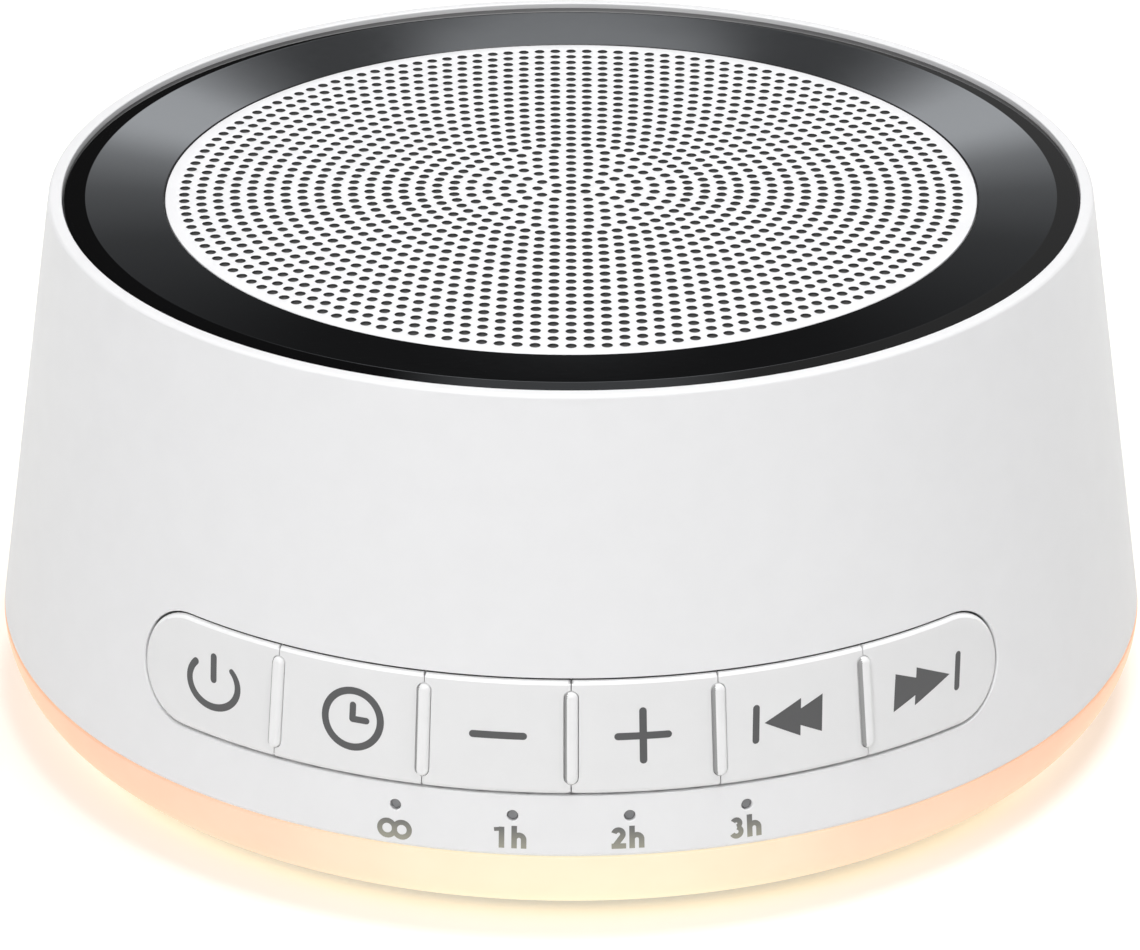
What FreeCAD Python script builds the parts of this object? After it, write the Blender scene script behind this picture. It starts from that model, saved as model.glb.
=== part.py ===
import FreeCAD, Part
import math
import os
import Sketcher

# White noise sound machine: a round, slightly tapered table-top loudspeaker
# with a key strip at the front and a glowing ring round its foot.
# Millimetres, +Z up, the keys face -Y, the origin is on the table under the centre.

SIZES = [
    # Overall
    ("body_height", 50.0, "table to the crest of the rim"),
    ("seam_height", 8.18, "table to the seam between housing and light ring"),
    ("seam_radius", 55.0, "outer radius at the seam, the widest place"),
    ("shell_lean", 0.1449, "outer radius lost per millimetre of height"),
    ("wall", 2.2, "housing wall"),
    ("fit", 0.1, "gap round a piece that drops into its seat"),
    # Top face
    ("rim_width", 1.25, "width of the rim's flat crest"),
    ("rim_round", 0.35, "rounding of the rim's edges"),
    ("grille_drop", 0.94, "rim crest down to the grille's face"),
    ("bezel_width", 9.39, "bezel from its outer edge to the grille"),
    ("grille_thick", 0.7, "perforated disc"),
    ("lip_width", 1.15, "bezel lip under the grille's edge"),
    ("lip_thick", 0.96, "bezel lip under the grille's edge"),
    ("bezel_slope", 2.04, "bezel from its outer edge to its highest line"),
    ("bezel_rise", 0.70, "highest line of the bezel above the grille's face"),
    ("bezel_edge_rise", 0.47, "outer edge of the bezel above the grille's face"),
    ("cloth_thick", 0.3, "dust cloth under the grille"),
    # Perforation
    ("hole_radius", 0.5, "one sound hole"),
    ("hole_pitch", 1.579, "ring to ring"),
    ("hole_margin", 1.7, "least plain edge outside the last ring of holes, to its middle"),
    ("even_rings", 6, "inner rings that hold six holes for each ring number"),
    # Baffle and loudspeaker
    ("baffle_thick", 2.0, "shelf inside the housing that carries the loudspeaker"),
    ("shelf_lap", 6.6, "shelf from the grille's edge to its opening"),
    ("gasket_thick", 0.8, "foam ring"),
    ("gasket_width", 3.5, "foam ring"),
    ("flange_lap", 4.0, "loudspeaker flange under the shelf"),
    ("flange_width", 6.0, "loudspeaker flange"),
    ("flange_thick", 1.2, "loudspeaker flange"),
    ("basket_slope", 6.1, "basket mouth to basket foot, in radius"),
    ("basket_window", 10.5, "half the width of a basket window"),
    ("basket_depth", 12.6, "flange face to basket floor"),
    ("basket_sheet", 1.0, "basket metal"),
    ("basket_hole", 10.6, "radius of the hole in the basket floor"),
    ("motor_inset", 1.4, "basket foot to the edge of the motor's plates"),
    ("magnet_proud", 1.5, "magnet beyond the plates"),
    ("motor_clearance", 4.8, "main board to the motor's back plate"),
    ("plate_thick", 3.0, "top plate, and the yoke's back plate"),
    ("magnet_bore", 12.0, "ring magnet"),
    ("gap_outer", 10.2, "radius of the top plate's hole"),
    ("pole_radius", 8.6, "pole of the yoke"),
    ("coil_radius", 9.5, "outside of the coil former"),
    ("coil_wall", 0.4, "coil former, and the winding on it"),
    ("cone_sheet", 0.5, "cone paper"),
    ("surround_inset", 0.3, "rubber surround inside the shelf's opening"),
    ("surround_sheet", 0.4, "surround rubber"),
    ("roll_width", 4.7, "half roll of the surround"),
    ("cap_radius", 11.0, "dust cap"),
    ("spider_rise", 2.27, "basket floor to the spider's face"),
    ("spider_land", 2.6, "flat rim of the spider"),
    ("spider_slope", 1.8, "sloping step of the spider"),
    ("speaker_screw_inset", 2.2, "flange edge to the loudspeaker screws"),
    ("tag_strip_depth", 3.0, "solder tag strip"),
    ("tag_strip_thick", 1.6, "solder tag strip"),
    ("tag_width", 1.6, "solder tag"),
    ("tag_thick", 0.5, "solder tag"),
    ("tag_drop", 2.2, "solder tag"),
    # Key strip
    ("key_height", 19.33, "table to the middle of the key strip"),
    ("key_rise", 10.75, "height of the key strip"),
    ("key_end_angle", 40.1, "centre of the strip's round end, from the front"),
    ("rib_angle_one", 14.0, "second rib from the front"),
    ("rib_angle_two", 29.05, "outer rib from the front"),
    ("key_angle_one", 6.85, "middle of the volume keys"),
    ("key_angle_two", 21.0, "middle of the timer and previous keys"),
    ("key_angle_three", 36.5, "middle of the power and next keys"),
    ("key_gap", 0.15, "gap between the strip and its window"),
    ("key_split", 0.12, "gap between two keys"),
    ("key_thick", 1.6, "key wall"),
    ("key_proud", 0.12, "keys above the housing's surface"),
    ("key_travel", 0.3, "press of a key"),
    ("stem_radius", 1.3, "stem behind a key"),
    ("stem_clearance", 0.3, "stem in the key frame"),
    ("rib_width", 1.2, "raised rib between two keys"),
    ("rib_length", 8.55, "raised rib between two keys"),
    ("rib_proud", 0.6, "rib above the housing's surface"),
    ("rib_round", 0.42, "rounding of the rib's crest"),
    ("rib_clearance", 0.1, "gap between a rib and the keys"),
    ("frame_depth", 2.35, "housing surface to the key frame"),
    ("frame_thick", 0.8, "key frame"),
    ("frame_overlap", 0.85, "key frame beyond the strip's top and bottom"),
    ("switch_size", 4.5, "square switch case"),
    ("switch_depth", 5.2, "housing surface to the switch case"),
    ("switch_thick", 1.4, "switch case"),
    ("plunger_radius", 0.9, "switch plunger"),
    ("plunger_clearance", 0.08, "plunger in its case"),
    ("plunger_length", 1.0, "switch plunger"),
    ("plunger_inside", 0.4, "plunger inside its case at rest"),
    ("flex_thick", 0.3, "curved circuit"),
    ("bracket_thick", 1.2, "carrier behind the curved circuit"),
    ("bracket_arm", 3.0, "degrees taken by the carrier's end block"),
    ("bracket_reach", 49.5, "half the carrier's angle"),
    ("bracket_end_gap", 0.4, "degrees from an end block to what lies between the blocks"),
    ("bracket_edge", 0.3, "carrier beyond the curved circuit's edges"),
    # Indicators
    ("led_drop", 7.32, "middle of the key strip down to the indicator holes"),
    ("led_hole_radius", 0.5, "indicator hole"),
    ("led_angle_one", 5.42, "inner indicator holes from the front"),
    ("led_angle_two", 16.5, "outer indicator holes from the front"),
    ("pipe_recess", 0.35, "housing surface to the light pipe's end"),
    ("pipe_clearance", 0.05, "light pipe in its hole"),
    ("led_thick", 0.55, "indicator light on the curved circuit"),
    ("led_width", 1.6, "indicator light"),
    ("led_depth", 0.8, "indicator light"),
    ("flex_edge", 1.0, "curved circuit below the indicator lights"),
    # Light ring and base
    ("foot_stand", 1.38, "table to the base"),
    ("ring_curve", 7.53, "radius of the ring's outer profile"),
    ("ring_undercut", 4.3, "seam to the ring's lower edge, in radius"),
    ("ring_foot_width", 1.1, "ring's lower edge to the base cover"),
    ("ring_wall", 2.0, "light ring"),
    ("spigot_rise", 1.8, "ring's collar inside the housing"),
    ("spigot_gap", 0.5, "ring's collar to the housing wall at the seam"),
    ("spigot_width", 1.2, "ring's collar"),
    ("base_thick", 1.8, "base cover"),
    ("chamber_width", 4.6, "base cover's edge to the inner wall of the light chamber"),
    ("chamber_wall", 1.5, "inner wall of the light chamber"),
    ("light_board_height", 8.0, "table to the light board"),
    ("light_board_thick", 1.0, "light board"),
    ("light_count", 24, "lights round the ring"),
    ("lamp_inset", 3.0, "chamber wall to the middle of a light"),
    ("lamp_width", 2.8, "one light of the ring"),
    ("lamp_depth", 1.6, "one light of the ring"),
    ("lamp_thick", 0.8, "one light of the ring"),
    ("post_inset", 15.0, "seam to the screw posts"),
    ("post_radius", 3.0, "screw posts"),
    ("post_foot", 6.0, "table to the lower end of the housing's posts"),
    ("sleeve_radius", 4.0, "screw sleeves of the base"),
    ("counterbore_radius", 2.8, "room for a base screw's head"),
    ("counterbore_depth", 3.0, "room for a base screw's head"),
    ("shank_radius", 1.3, "base and speaker screws"),
    ("screw_head", 1.7, "base screw's head"),
    ("screw_grip", 10.0, "base screw inside a post"),
    ("foot_radius", 5.5, "rubber foot"),
    ("foot_inset", 11.6, "base cover's edge to a foot's middle"),
    ("foot_sunk", 0.6, "foot inside its recess"),
    # Electronics
    ("board_gap", 0.8, "screw posts to the main board"),
    ("board_thick", 1.6, "main board"),
    ("board_height", 10.6, "table to the main board"),
    ("board_tail_width", 14.0, "tail that reaches the power socket"),
    ("board_tail_start", 20.0, "centre to the root of the tail"),
    ("tail_inset", 3.1, "socket's mouth to the end of the tail"),
    ("standoff_inset", 5.2, "main board's edge to a stand-off"),
    ("standoff_radius", 3.0, "stand-offs"),
    ("board_screw_radius", 1.0, "board screws"),
    ("board_screw_head", 1.3, "board screw's head"),
    ("board_screw_grip", 5.0, "board screw inside a stand-off"),
    ("socket_width", 8.94, "power socket"),
    ("socket_rise", 3.26, "power socket"),
    ("socket_length", 7.4, "power socket"),
    ("socket_sheet", 0.3, "power socket metal"),
    ("socket_recess", 0.8175, "housing surface to the mouth of the power socket"),
    ("socket_gap", 0.2, "gap round the socket's mouth"),
    ("tongue_thick", 0.7, "tongue inside the power socket"),
    ("capacitor_radius", 3.15, "round capacitors"),
    ("capacitor_rise", 7.7, "round capacitors"),
    ("capacitor_round", 0.5, "round capacitors"),
    ("lead_radius", 0.6, "speaker leads"),
    ("lead_spread", 3.0, "half the distance between the speaker tags"),
    ("lead_drop", 6.0, "straight end of a speaker lead"),
    ("pin_spread", 1.8, "half the distance between the speaker connector's pins"),
]

# Blocks on the main board: width, depth, rise, then the middle as shares of the board's radius
CHIPS = [
    (9.0, 9.0, 1.4, -0.11, -0.17),
    (6.0, 5.0, 1.6, 0.33, -0.11),
    (5.0, 4.0, 1.5, 0.25, 0.25),
    (3.0, 3.0, 1.1, -0.39, 0.22),
]
CONNECTORS = [
    (8.0, 5.0, 5.0, -0.36, 0.80),
    (6.0, 4.5, 4.0, 0.39, 0.72),
    (14.0, 4.0, 2.4, -0.17, -0.86),
]
CAPACITOR_PLACES = [(-0.66, 0.50), (0.76, 0.39), (-0.80, -0.17)]

# Heights, as sums of sizes
GRILLE_TOP = "body_height - grille_drop"
GRILLE_UNDER = GRILLE_TOP + " - grille_thick"
BAFFLE_TOP = GRILLE_UNDER + " - lip_thick"
BAFFLE_UNDER = BAFFLE_TOP + " - baffle_thick"
SPEAKER_FACE = BAFFLE_UNDER + " - gasket_thick"
BASKET_FLOOR = SPEAKER_FACE + " - basket_depth"
PLATE_TOP = BASKET_FLOOR + " - basket_sheet"
MAGNET_TOP = PLATE_TOP + " - plate_thick"
BOARD_TOP = "board_height + board_thick"
LED_HEIGHT = "key_height - led_drop"
YOKE_UNDER = BOARD_TOP + " + motor_clearance"
YOKE_TOP = YOKE_UNDER + " + plate_thick"
BASE_TOP = "foot_stand + base_thick"

# Radii, as sums of sizes
RIM_BORE = "seam_radius + shell_lean * seam_height - shell_lean * body_height - rim_width"
BEZEL_OUTER = RIM_BORE + " - fit"
BEZEL_INNER = BEZEL_OUTER + " - bezel_width"
GRILLE_RADIUS = BEZEL_INNER + " - fit"
LIP_INNER = GRILLE_RADIUS + " - lip_width"
SHELF_BORE = GRILLE_RADIUS + " - shelf_lap"
FLANGE_RADIUS = SHELF_BORE + " + flange_lap"
BASKET_MOUTH = FLANGE_RADIUS + " - flange_width"
BASKET_FOOT = BASKET_MOUTH + " - basket_slope"
MOTOR_RADIUS = BASKET_FOOT + " - motor_inset"
CONE_LIP = BASKET_MOUTH + " + surround_sheet - roll_width"
SPEAKER_SCREW_RING = FLANGE_RADIUS + " - speaker_screw_inset"
RING_FOOT = "seam_radius - ring_undercut"
BASE_RADIUS = RING_FOOT + " - ring_foot_width"
CHAMBER_RADIUS = BASE_RADIUS + " - chamber_width"
CHAMBER_INNER = CHAMBER_RADIUS + " - chamber_wall"
FOOT_RING = BASE_RADIUS + " - foot_inset"
POST_RING = "seam_radius - post_inset"
BOARD_RADIUS = POST_RING + " - post_radius - board_gap"
STANDOFF_RING = BOARD_RADIUS + " - standoff_inset"

# Angles from +X, in degrees
POST_TURN = 45
LAMP_TURN = 7.5

UPRIGHT = FreeCAD.Vector(0, 0, 1)
SIDEWAYS = FreeCAD.Vector(1, 0, 0)
CENTRE = FreeCAD.Vector(0, 0, 0)

os.makedirs("parts", exist_ok=True)
doc = FreeCAD.newDocument("sound_machine")
sheet = doc.addObject("Spreadsheet::Sheet", "Sizes")
nodes = []


def fill_sheet():
    """Writes every driving size into the sheet, one row each."""
    for row, (alias, value, note) in enumerate(SIZES, start=1):
        sheet.set("A%d" % row, note)
        sheet.set("B%d" % row, str(value))
        sheet.setAlias("B%d" % row, alias)
    doc.recompute()


def size(alias):
    """One size from the sheet."""
    return float(sheet.get(alias))


def worked(text):
    """Adds up a sum of products such as 'wall * 2 - fit' from the sheet's sizes."""
    total = 0.0
    sign = 1
    product = 1.0
    for word in text.split() + ["+"]:
        if word in ("+", "-"):
            total += sign * product
            sign = 1 if word == "+" else -1
            product = 1.0
        elif word != "*":
            product *= size(word) if word[0].isalpha() else float(word)
    return total


def bound(text):
    """The same sum as an expression on the sheet."""
    return " ".join("Sizes." + word if word[0].isalpha() else word for word in text.split())


def cone_radius(height):
    """Text of the housing's outer radius at a height that is a sum of sizes."""
    flipped = {"+": "-", "-": "+"}
    terms = [flipped.get(word, "shell_lean * " + word) for word in height.split()]
    return "seam_radius + shell_lean * seam_height - " + " ".join(terms)


def node(item, label):
    """Names a finished piece and keeps it for the export."""
    item.Label = label
    nodes.append(item)
    return item


def plain(shape, name):
    """Puts a finished shape into the document."""
    item = doc.addObject("Part::Feature", name)
    item.Shape = shape
    return item


def origin_plane(body, role):
    """The body's own origin plane with that role."""
    return next(part for part in body.Origin.OriginFeatures if part.Role == role)


def new_sketch(body, name, role):
    """An empty sketch on one of the body's origin planes."""
    sketch = body.newObject("Sketcher::SketchObject", name)
    sketch.AttachmentSupport = (origin_plane(body, role), "")
    sketch.MapMode = "FlatFace"
    return sketch


def fix_number(sketch, kind, places, text):
    """Adds a dimension and binds it to the sheet."""
    index = sketch.addConstraint(Sketcher.Constraint(kind, *places, worked(text)))
    sketch.setExpression("Constraints[%d]" % index, bound(text))


def fix_point(sketch, geometry, end, across, along):
    """Holds a point at a distance from each axis of its sketch."""
    for kind, text, axis in (("DistanceX", across, -2), ("DistanceY", along, -1)):
        if text == "0":
            sketch.addConstraint(Sketcher.Constraint("PointOnObject", geometry, end, axis))
        else:
            fix_number(sketch, kind, (-1, 1, geometry, end), text)


def arc_between(start, finish, radius, turn):
    """An arc under a half circle, its start end and its finish end."""
    chord = finish - start
    reach = math.sqrt(radius ** 2 - (chord.Length / 2) ** 2)
    square = FreeCAD.Vector(-chord.y, chord.x, 0).normalize()
    middle = (start + finish) / 2 + square * reach * turn
    angles = [math.atan2(spot.y - middle.y, spot.x - middle.x) for spot in (start, finish)]
    ends = (1, 2)
    if turn < 0:
        angles.reverse()
        ends = (2, 1)
    circle = Part.Circle(middle, UPRIGHT, radius)
    return Part.ArcOfCircle(circle, angles[0], angles[1]), ends


def draw_outline(sketch, corners):
    """Closes a chain of lines and arcs. A corner with four items ends an arc."""
    spots = [FreeCAD.Vector(worked(item[0]), worked(item[1]), 0) for item in corners]
    ends = []
    for index, corner in enumerate(corners):
        start = spots[index - 1]
        if len(corner) == 4:
            curve, pair = arc_between(start, spots[index], worked(corner[2]), corner[3])
        else:
            curve, pair = Part.LineSegment(start, spots[index]), (1, 2)
        sketch.addGeometry(curve, False)
        ends.append(pair)
    for index, corner in enumerate(corners):
        before = index - 1 if index else len(corners) - 1
        link = (before, ends[before][1], index, ends[index][0])
        sketch.addConstraint(Sketcher.Constraint("Coincident", *link))
        if len(corner) == 4:
            fix_number(sketch, "Radius", (index,), corner[2])
    for index, corner in enumerate(corners):
        fix_point(sketch, index, ends[index][1], corner[0], corner[1])


def turned_body(name, corners):
    """A body turned from an outline of radius and height."""
    body = doc.addObject("PartDesign::Body", name)
    sketch = new_sketch(body, name + "_outline", "XZ_Plane")
    draw_outline(sketch, corners)
    turn = body.newObject("PartDesign::Revolution", name + "_turn")
    turn.Profile = (sketch, [""])
    turn.ReferenceAxis = (sketch, ["V_Axis"])
    turn.Angle = 360
    doc.recompute()
    return body


def ring_body(name, inner, outer, low, high):
    """A turned body with a plain rectangular section."""
    corners = [(inner, low), (outer, low), (outer, high), (inner, high)]
    return turned_body(name, corners)


def circle_sketch(body, name, height, circles):
    """A level sketch of circles, each a place along the first axis and a radius."""
    sketch = new_sketch(body, name, "XY_Plane")
    sketch.setExpression("AttachmentOffset.Base.z", bound(height))
    for index, (place, radius) in enumerate(circles):
        middle = FreeCAD.Vector(worked(place), 0, 0)
        sketch.addGeometry(Part.Circle(middle, UPRIGHT, worked(radius)), False)
        fix_point(sketch, index, 3, place, "0")
        fix_number(sketch, "Radius", (index,), radius)
    return sketch


def around(body, name, features, count):
    """Repeats features evenly round the upright axis."""
    pattern = body.newObject("PartDesign::PolarPattern", name)
    pattern.Originals = features
    pattern.Axis = (origin_axis(body), [""])
    pattern.Angle = 360
    pattern.Occurrences = count
    body.Tip = pattern
    doc.recompute()
    return pattern


def origin_axis(body):
    """The body's own upright axis."""
    return next(part for part in body.Origin.OriginFeatures if part.Role == "Z_Axis")


def pad(body, name, sketch, length):
    """Extrudes a sketch upwards."""
    feature = body.newObject("PartDesign::Pad", name)
    feature.Profile = (sketch, [""])
    feature.setExpression("Length", bound(length))
    doc.recompute()
    return feature


def pocket(body, name, sketch, length, upwards):
    """Cuts a sketch up or down from its plane."""
    feature = body.newObject("PartDesign::Pocket", name)
    feature.Profile = (sketch, [""])
    feature.setExpression("Length", bound(length))
    feature.Reversed = upwards
    before = body.Shape.Volume
    doc.recompute()
    if not feature.Shape.Volume < before:
        raise ValueError(name + " cuts nothing")
    return feature


def turn_about(shape, angle):
    """Turns a shape about the upright axis, from the front towards +X."""
    shape.rotate(CENTRE, UPRIGHT, angle)
    return shape


def polar_group(shape, count, first):
    """Copies of a shape spaced evenly round the upright axis."""
    step = 360.0 / count
    return Part.makeCompound([turn_about(shape.copy(), first + step * i) for i in range(count)])


# The housing's tapered surface

def tilt():
    """Angle of the tapered wall from upright, in radians."""
    return math.atan(size("shell_lean"))


def surface_radius(height):
    """Outer radius of the housing at a height."""
    return size("seam_radius") - size("shell_lean") * (height - size("seam_height"))


def seat(angle, height, depth=0.0):
    """Frame on the tapered wall: X across, Y up the slope, Z outwards."""
    spot = FreeCAD.Vector(0, -surface_radius(height), height)
    lean = FreeCAD.Rotation(SIDEWAYS, 90 - math.degrees(tilt()))
    spin = FreeCAD.Placement(CENTRE, FreeCAD.Rotation(UPRIGHT, angle))
    inset = FreeCAD.Placement(FreeCAD.Vector(0, 0, -depth), FreeCAD.Rotation())
    return spin.multiply(FreeCAD.Placement(spot, lean)).multiply(inset)


def seated(shape, angle, height):
    """Moves a shape that is drawn at the origin onto the tapered wall."""
    shape.Placement = seat(angle, height).multiply(shape.Placement)
    return shape


def band(outer_depth, inner_depth, low, high, start, finish):
    """A curved slab that follows the tapered wall between two angles."""
    places = [(low, outer_depth), (high, outer_depth), (high, inner_depth), (low, inner_depth)]
    spots = []
    for height, depth in places:
        radius = surface_radius(height) - depth * math.cos(tilt())
        spots.append(FreeCAD.Vector(0, -radius, height - depth * math.sin(tilt())))
    face = Part.Face(Part.makePolygon(spots + spots[:1]))
    slab = face.revolve(CENTRE, UPRIGHT, finish - start)
    return turn_about(slab, start)


def stub(radius, outer_depth, inner_depth, angle, height):
    """A round bar square to the tapered wall."""
    bar = Part.makeCylinder(radius, inner_depth - outer_depth, FreeCAD.Vector(0, 0, -inner_depth))
    return seated(bar, angle, height)


def strip(outer_depth, inner_depth, shrink):
    """The long round-ended outline of the key strip, as a slab."""
    middle = size("key_height")
    half = size("key_rise") / 2 - shrink * math.cos(tilt())
    end = size("key_end_angle")
    slab = band(outer_depth, inner_depth, middle - half, middle + half, -end, end)
    radius = size("key_rise") / 2 / math.cos(tilt()) - shrink
    ends = [stub(radius, outer_depth, inner_depth, side * end, middle) for side in (-1, 1)]
    return slab.multiFuse(ends).removeSplitter()


# Housing

def make_upper_shell():
    """Tapered housing with its shelf, posts, key window and small holes."""
    inner_top = cone_radius(BAFFLE_UNDER) + " - wall"
    corners = [
        ("seam_radius", "seam_height"),
        (RIM_BORE + " + rim_width", "body_height"),
        (RIM_BORE, "body_height"),
        (RIM_BORE, BAFFLE_TOP),
        (SHELF_BORE, BAFFLE_TOP),
        (SHELF_BORE, BAFFLE_UNDER),
        (inner_top, BAFFLE_UNDER),
        ("seam_radius - wall", "seam_height"),
    ]
    body = turned_body("shell_body", corners)
    soften_rim(body)
    sketch = circle_sketch(body, "post_sketch", "post_foot",
                           [(POST_RING, "post_radius"), (POST_RING, "shank_radius + fit")])
    posts = pad(body, "post_pad", sketch, BAFFLE_UNDER + " - post_foot")
    around(body, "post_pattern", [posts], 4)
    sketch = circle_sketch(body, "speaker_hole_sketch", BAFFLE_UNDER,
                           [(SPEAKER_SCREW_RING, "shank_radius + fit")])
    holes = pocket(body, "speaker_holes", sketch, "baffle_thick * 0.8", True)
    around(body, "speaker_hole_pattern", [holes], 4)
    body.Placement = FreeCAD.Placement(CENTRE, FreeCAD.Rotation(UPRIGHT, POST_TURN))
    tools = [strip(-2.0, size("frame_depth") + 2.0, 0.0)]
    through = size("wall") + 1.0
    for angle in led_angles():
        tools.append(stub(size("led_hole_radius"), -1.0, through, angle, worked(LED_HEIGHT)))
    tools.append(socket_block(size("socket_gap"), size("wall") * 3))
    cutter = plain(Part.makeCompound(tools), "shell_openings")
    shell = doc.addObject("Part::Cut", "shell_cut")
    shell.Base = body
    shell.Tool = cutter
    node(shell, "upper_shell")


def soften_rim(body):
    """Rounds both edges of the rim's crest."""
    edges = []
    top = worked("body_height")
    for number, edge in enumerate(body.Shape.Edges, start=1):
        flat = abs(edge.BoundBox.ZMin - top) < 0.01 and abs(edge.BoundBox.ZMax - top) < 0.01
        if flat:
            edges.append("Edge%d" % number)
    turned = body.Tip
    rounding = body.newObject("PartDesign::Fillet", "rim_rounding")
    rounding.Base = (turned, edges)
    rounding.setExpression("Radius", bound("rim_round"))
    body.Tip = rounding
    doc.recompute()


def make_bezel_ring():
    """Gloss ring between the rim and the grille, with a lip under the grille."""
    corners = [
        (LIP_INNER, BAFFLE_TOP),
        (BEZEL_OUTER, BAFFLE_TOP),
        (BEZEL_OUTER, GRILLE_TOP + " + bezel_edge_rise"),
        (BEZEL_OUTER + " - bezel_slope", GRILLE_TOP + " + bezel_rise"),
        (BEZEL_INNER, GRILLE_TOP),
        (BEZEL_INNER, GRILLE_UNDER),
        (LIP_INNER, GRILLE_UNDER),
    ]
    node(turned_body("bezel_ring", corners), "bezel_ring")


def make_speaker_grille():
    """Perforated disc. Each ring of holes starts on the front-to-back line."""
    pitch = size("hole_pitch")
    rings = int(worked(GRILLE_RADIUS + " - hole_margin") / pitch)
    rise = FreeCAD.Vector(0, 0, size("grille_thick"))
    edges = [(number + 0.5) * pitch for number in range(rings)] + [worked(GRILLE_RADIUS)]
    walls = [Part.makeCircle(worked(GRILLE_RADIUS)).extrude(rise)]
    for number, edge in enumerate(edges):
        wires = [Part.Wire(Part.makeCircle(edge))]
        if number:
            wires.append(Part.Wire(Part.makeCircle(edges[number - 1])))
        holes = 1 if number == 0 else 6 * (number + int(number > size("even_rings")))
        for index in range(holes):
            angle = math.pi / 2 + 2 * math.pi * index / holes
            middle = FreeCAD.Vector(math.cos(angle), math.sin(angle), 0) * number * pitch
            hole = Part.makeCircle(size("hole_radius"), middle)
            wires.append(Part.Wire(hole))
            walls.append(hole.extrude(rise))
        level = Part.makeFace(wires, "Part::FaceMakerCheese")
        upper = level.copy()
        upper.translate(rise)
        walls += [level, upper]
    shell = Part.makeShell(walls)
    shell.sewShape()
    disc = Part.makeSolid(shell)
    disc.translate(FreeCAD.Vector(0, 0, worked(GRILLE_UNDER)))
    node(plain(disc, "speaker_grille"), "speaker_grille")


def make_grille_cloth():
    """Dust cloth glued under the grille, inside the bezel's lip."""
    cloth = doc.addObject("Part::Cylinder", "grille_cloth")
    cloth.setExpression("Radius", bound(LIP_INNER + " - fit"))
    cloth.setExpression("Height", bound("cloth_thick"))
    cloth.setExpression("Placement.Base.z", bound(GRILLE_UNDER + " - cloth_thick"))
    node(cloth, "grille_cloth")


# Loudspeaker

def make_speaker_gasket():
    """Foam ring between the loudspeaker's flange and the shelf."""
    ring = ring_body("speaker_gasket", FLANGE_RADIUS + " - gasket_width", FLANGE_RADIUS,
                     SPEAKER_FACE, BAFFLE_UNDER)
    sketch = circle_sketch(ring, "gasket_hole_sketch", SPEAKER_FACE,
                           [(SPEAKER_SCREW_RING, "shank_radius + fit")])
    hole = pocket(ring, "gasket_holes", sketch, "gasket_thick", True)
    around(ring, "gasket_hole_pattern", [hole], 4)
    ring.Placement = FreeCAD.Placement(CENTRE, FreeCAD.Rotation(UPRIGHT, POST_TURN))
    node(ring, "speaker_gasket")


def make_speaker_frame():
    """Pressed basket with a flange, four windows and four screw holes."""
    under = SPEAKER_FACE + " - flange_thick"
    corners = [
        ("basket_hole", PLATE_TOP),
        (BASKET_FOOT + " + basket_sheet * 0.8", PLATE_TOP),
        (BASKET_MOUTH + " + basket_sheet * 1.2", under),
        (FLANGE_RADIUS, under),
        (FLANGE_RADIUS, SPEAKER_FACE),
        (BASKET_MOUTH, SPEAKER_FACE),
        (BASKET_FOOT, BASKET_FLOOR),
        ("basket_hole", BASKET_FLOOR),
    ]
    body = turned_body("speaker_frame", corners)
    sketch = circle_sketch(body, "flange_hole_sketch", under,
                           [(SPEAKER_SCREW_RING, "shank_radius + fit")])
    hole = pocket(body, "flange_holes", sketch, "flange_thick", True)
    window = window_pocket(body)
    around(body, "frame_pattern", [hole, window], 4)
    body.Placement = FreeCAD.Placement(CENTRE, FreeCAD.Rotation(UPRIGHT, POST_TURN))
    node(body, "speaker_frame")


def window_pocket(body):
    """One window through the sloping side of the basket."""
    sketch = new_sketch(body, "basket_window_sketch", "XY_Plane")
    sketch.setExpression("AttachmentOffset.Base.z", bound(BASKET_FLOOR + " + basket_sheet"))
    inner = BASKET_FOOT + " + basket_sheet"
    outer = BASKET_MOUTH + " - basket_sheet * 0.5"
    half = "basket_window"
    corners = [(inner, "0 - " + half), (outer, "0 - " + half), (outer, half), (inner, half)]
    spots = [FreeCAD.Vector(worked(across), worked(along), 0) for across, along in corners]
    for index in range(4):
        sketch.addGeometry(Part.LineSegment(spots[index - 1], spots[index]), False)
    for index in range(4):
        before = index - 1 if index else 3
        sketch.addConstraint(Sketcher.Constraint("Coincident", before, 2, index, 1))
        fix_number(sketch, "DistanceX", (-1, 1, index, 2), corners[index][0])
        fix_number(sketch, "DistanceY", (-1, 1, index, 2), corners[index][1])
    rise = "basket_depth - basket_sheet - flange_thick * 1.5"
    return pocket(body, "basket_window", sketch, rise, True)


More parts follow.
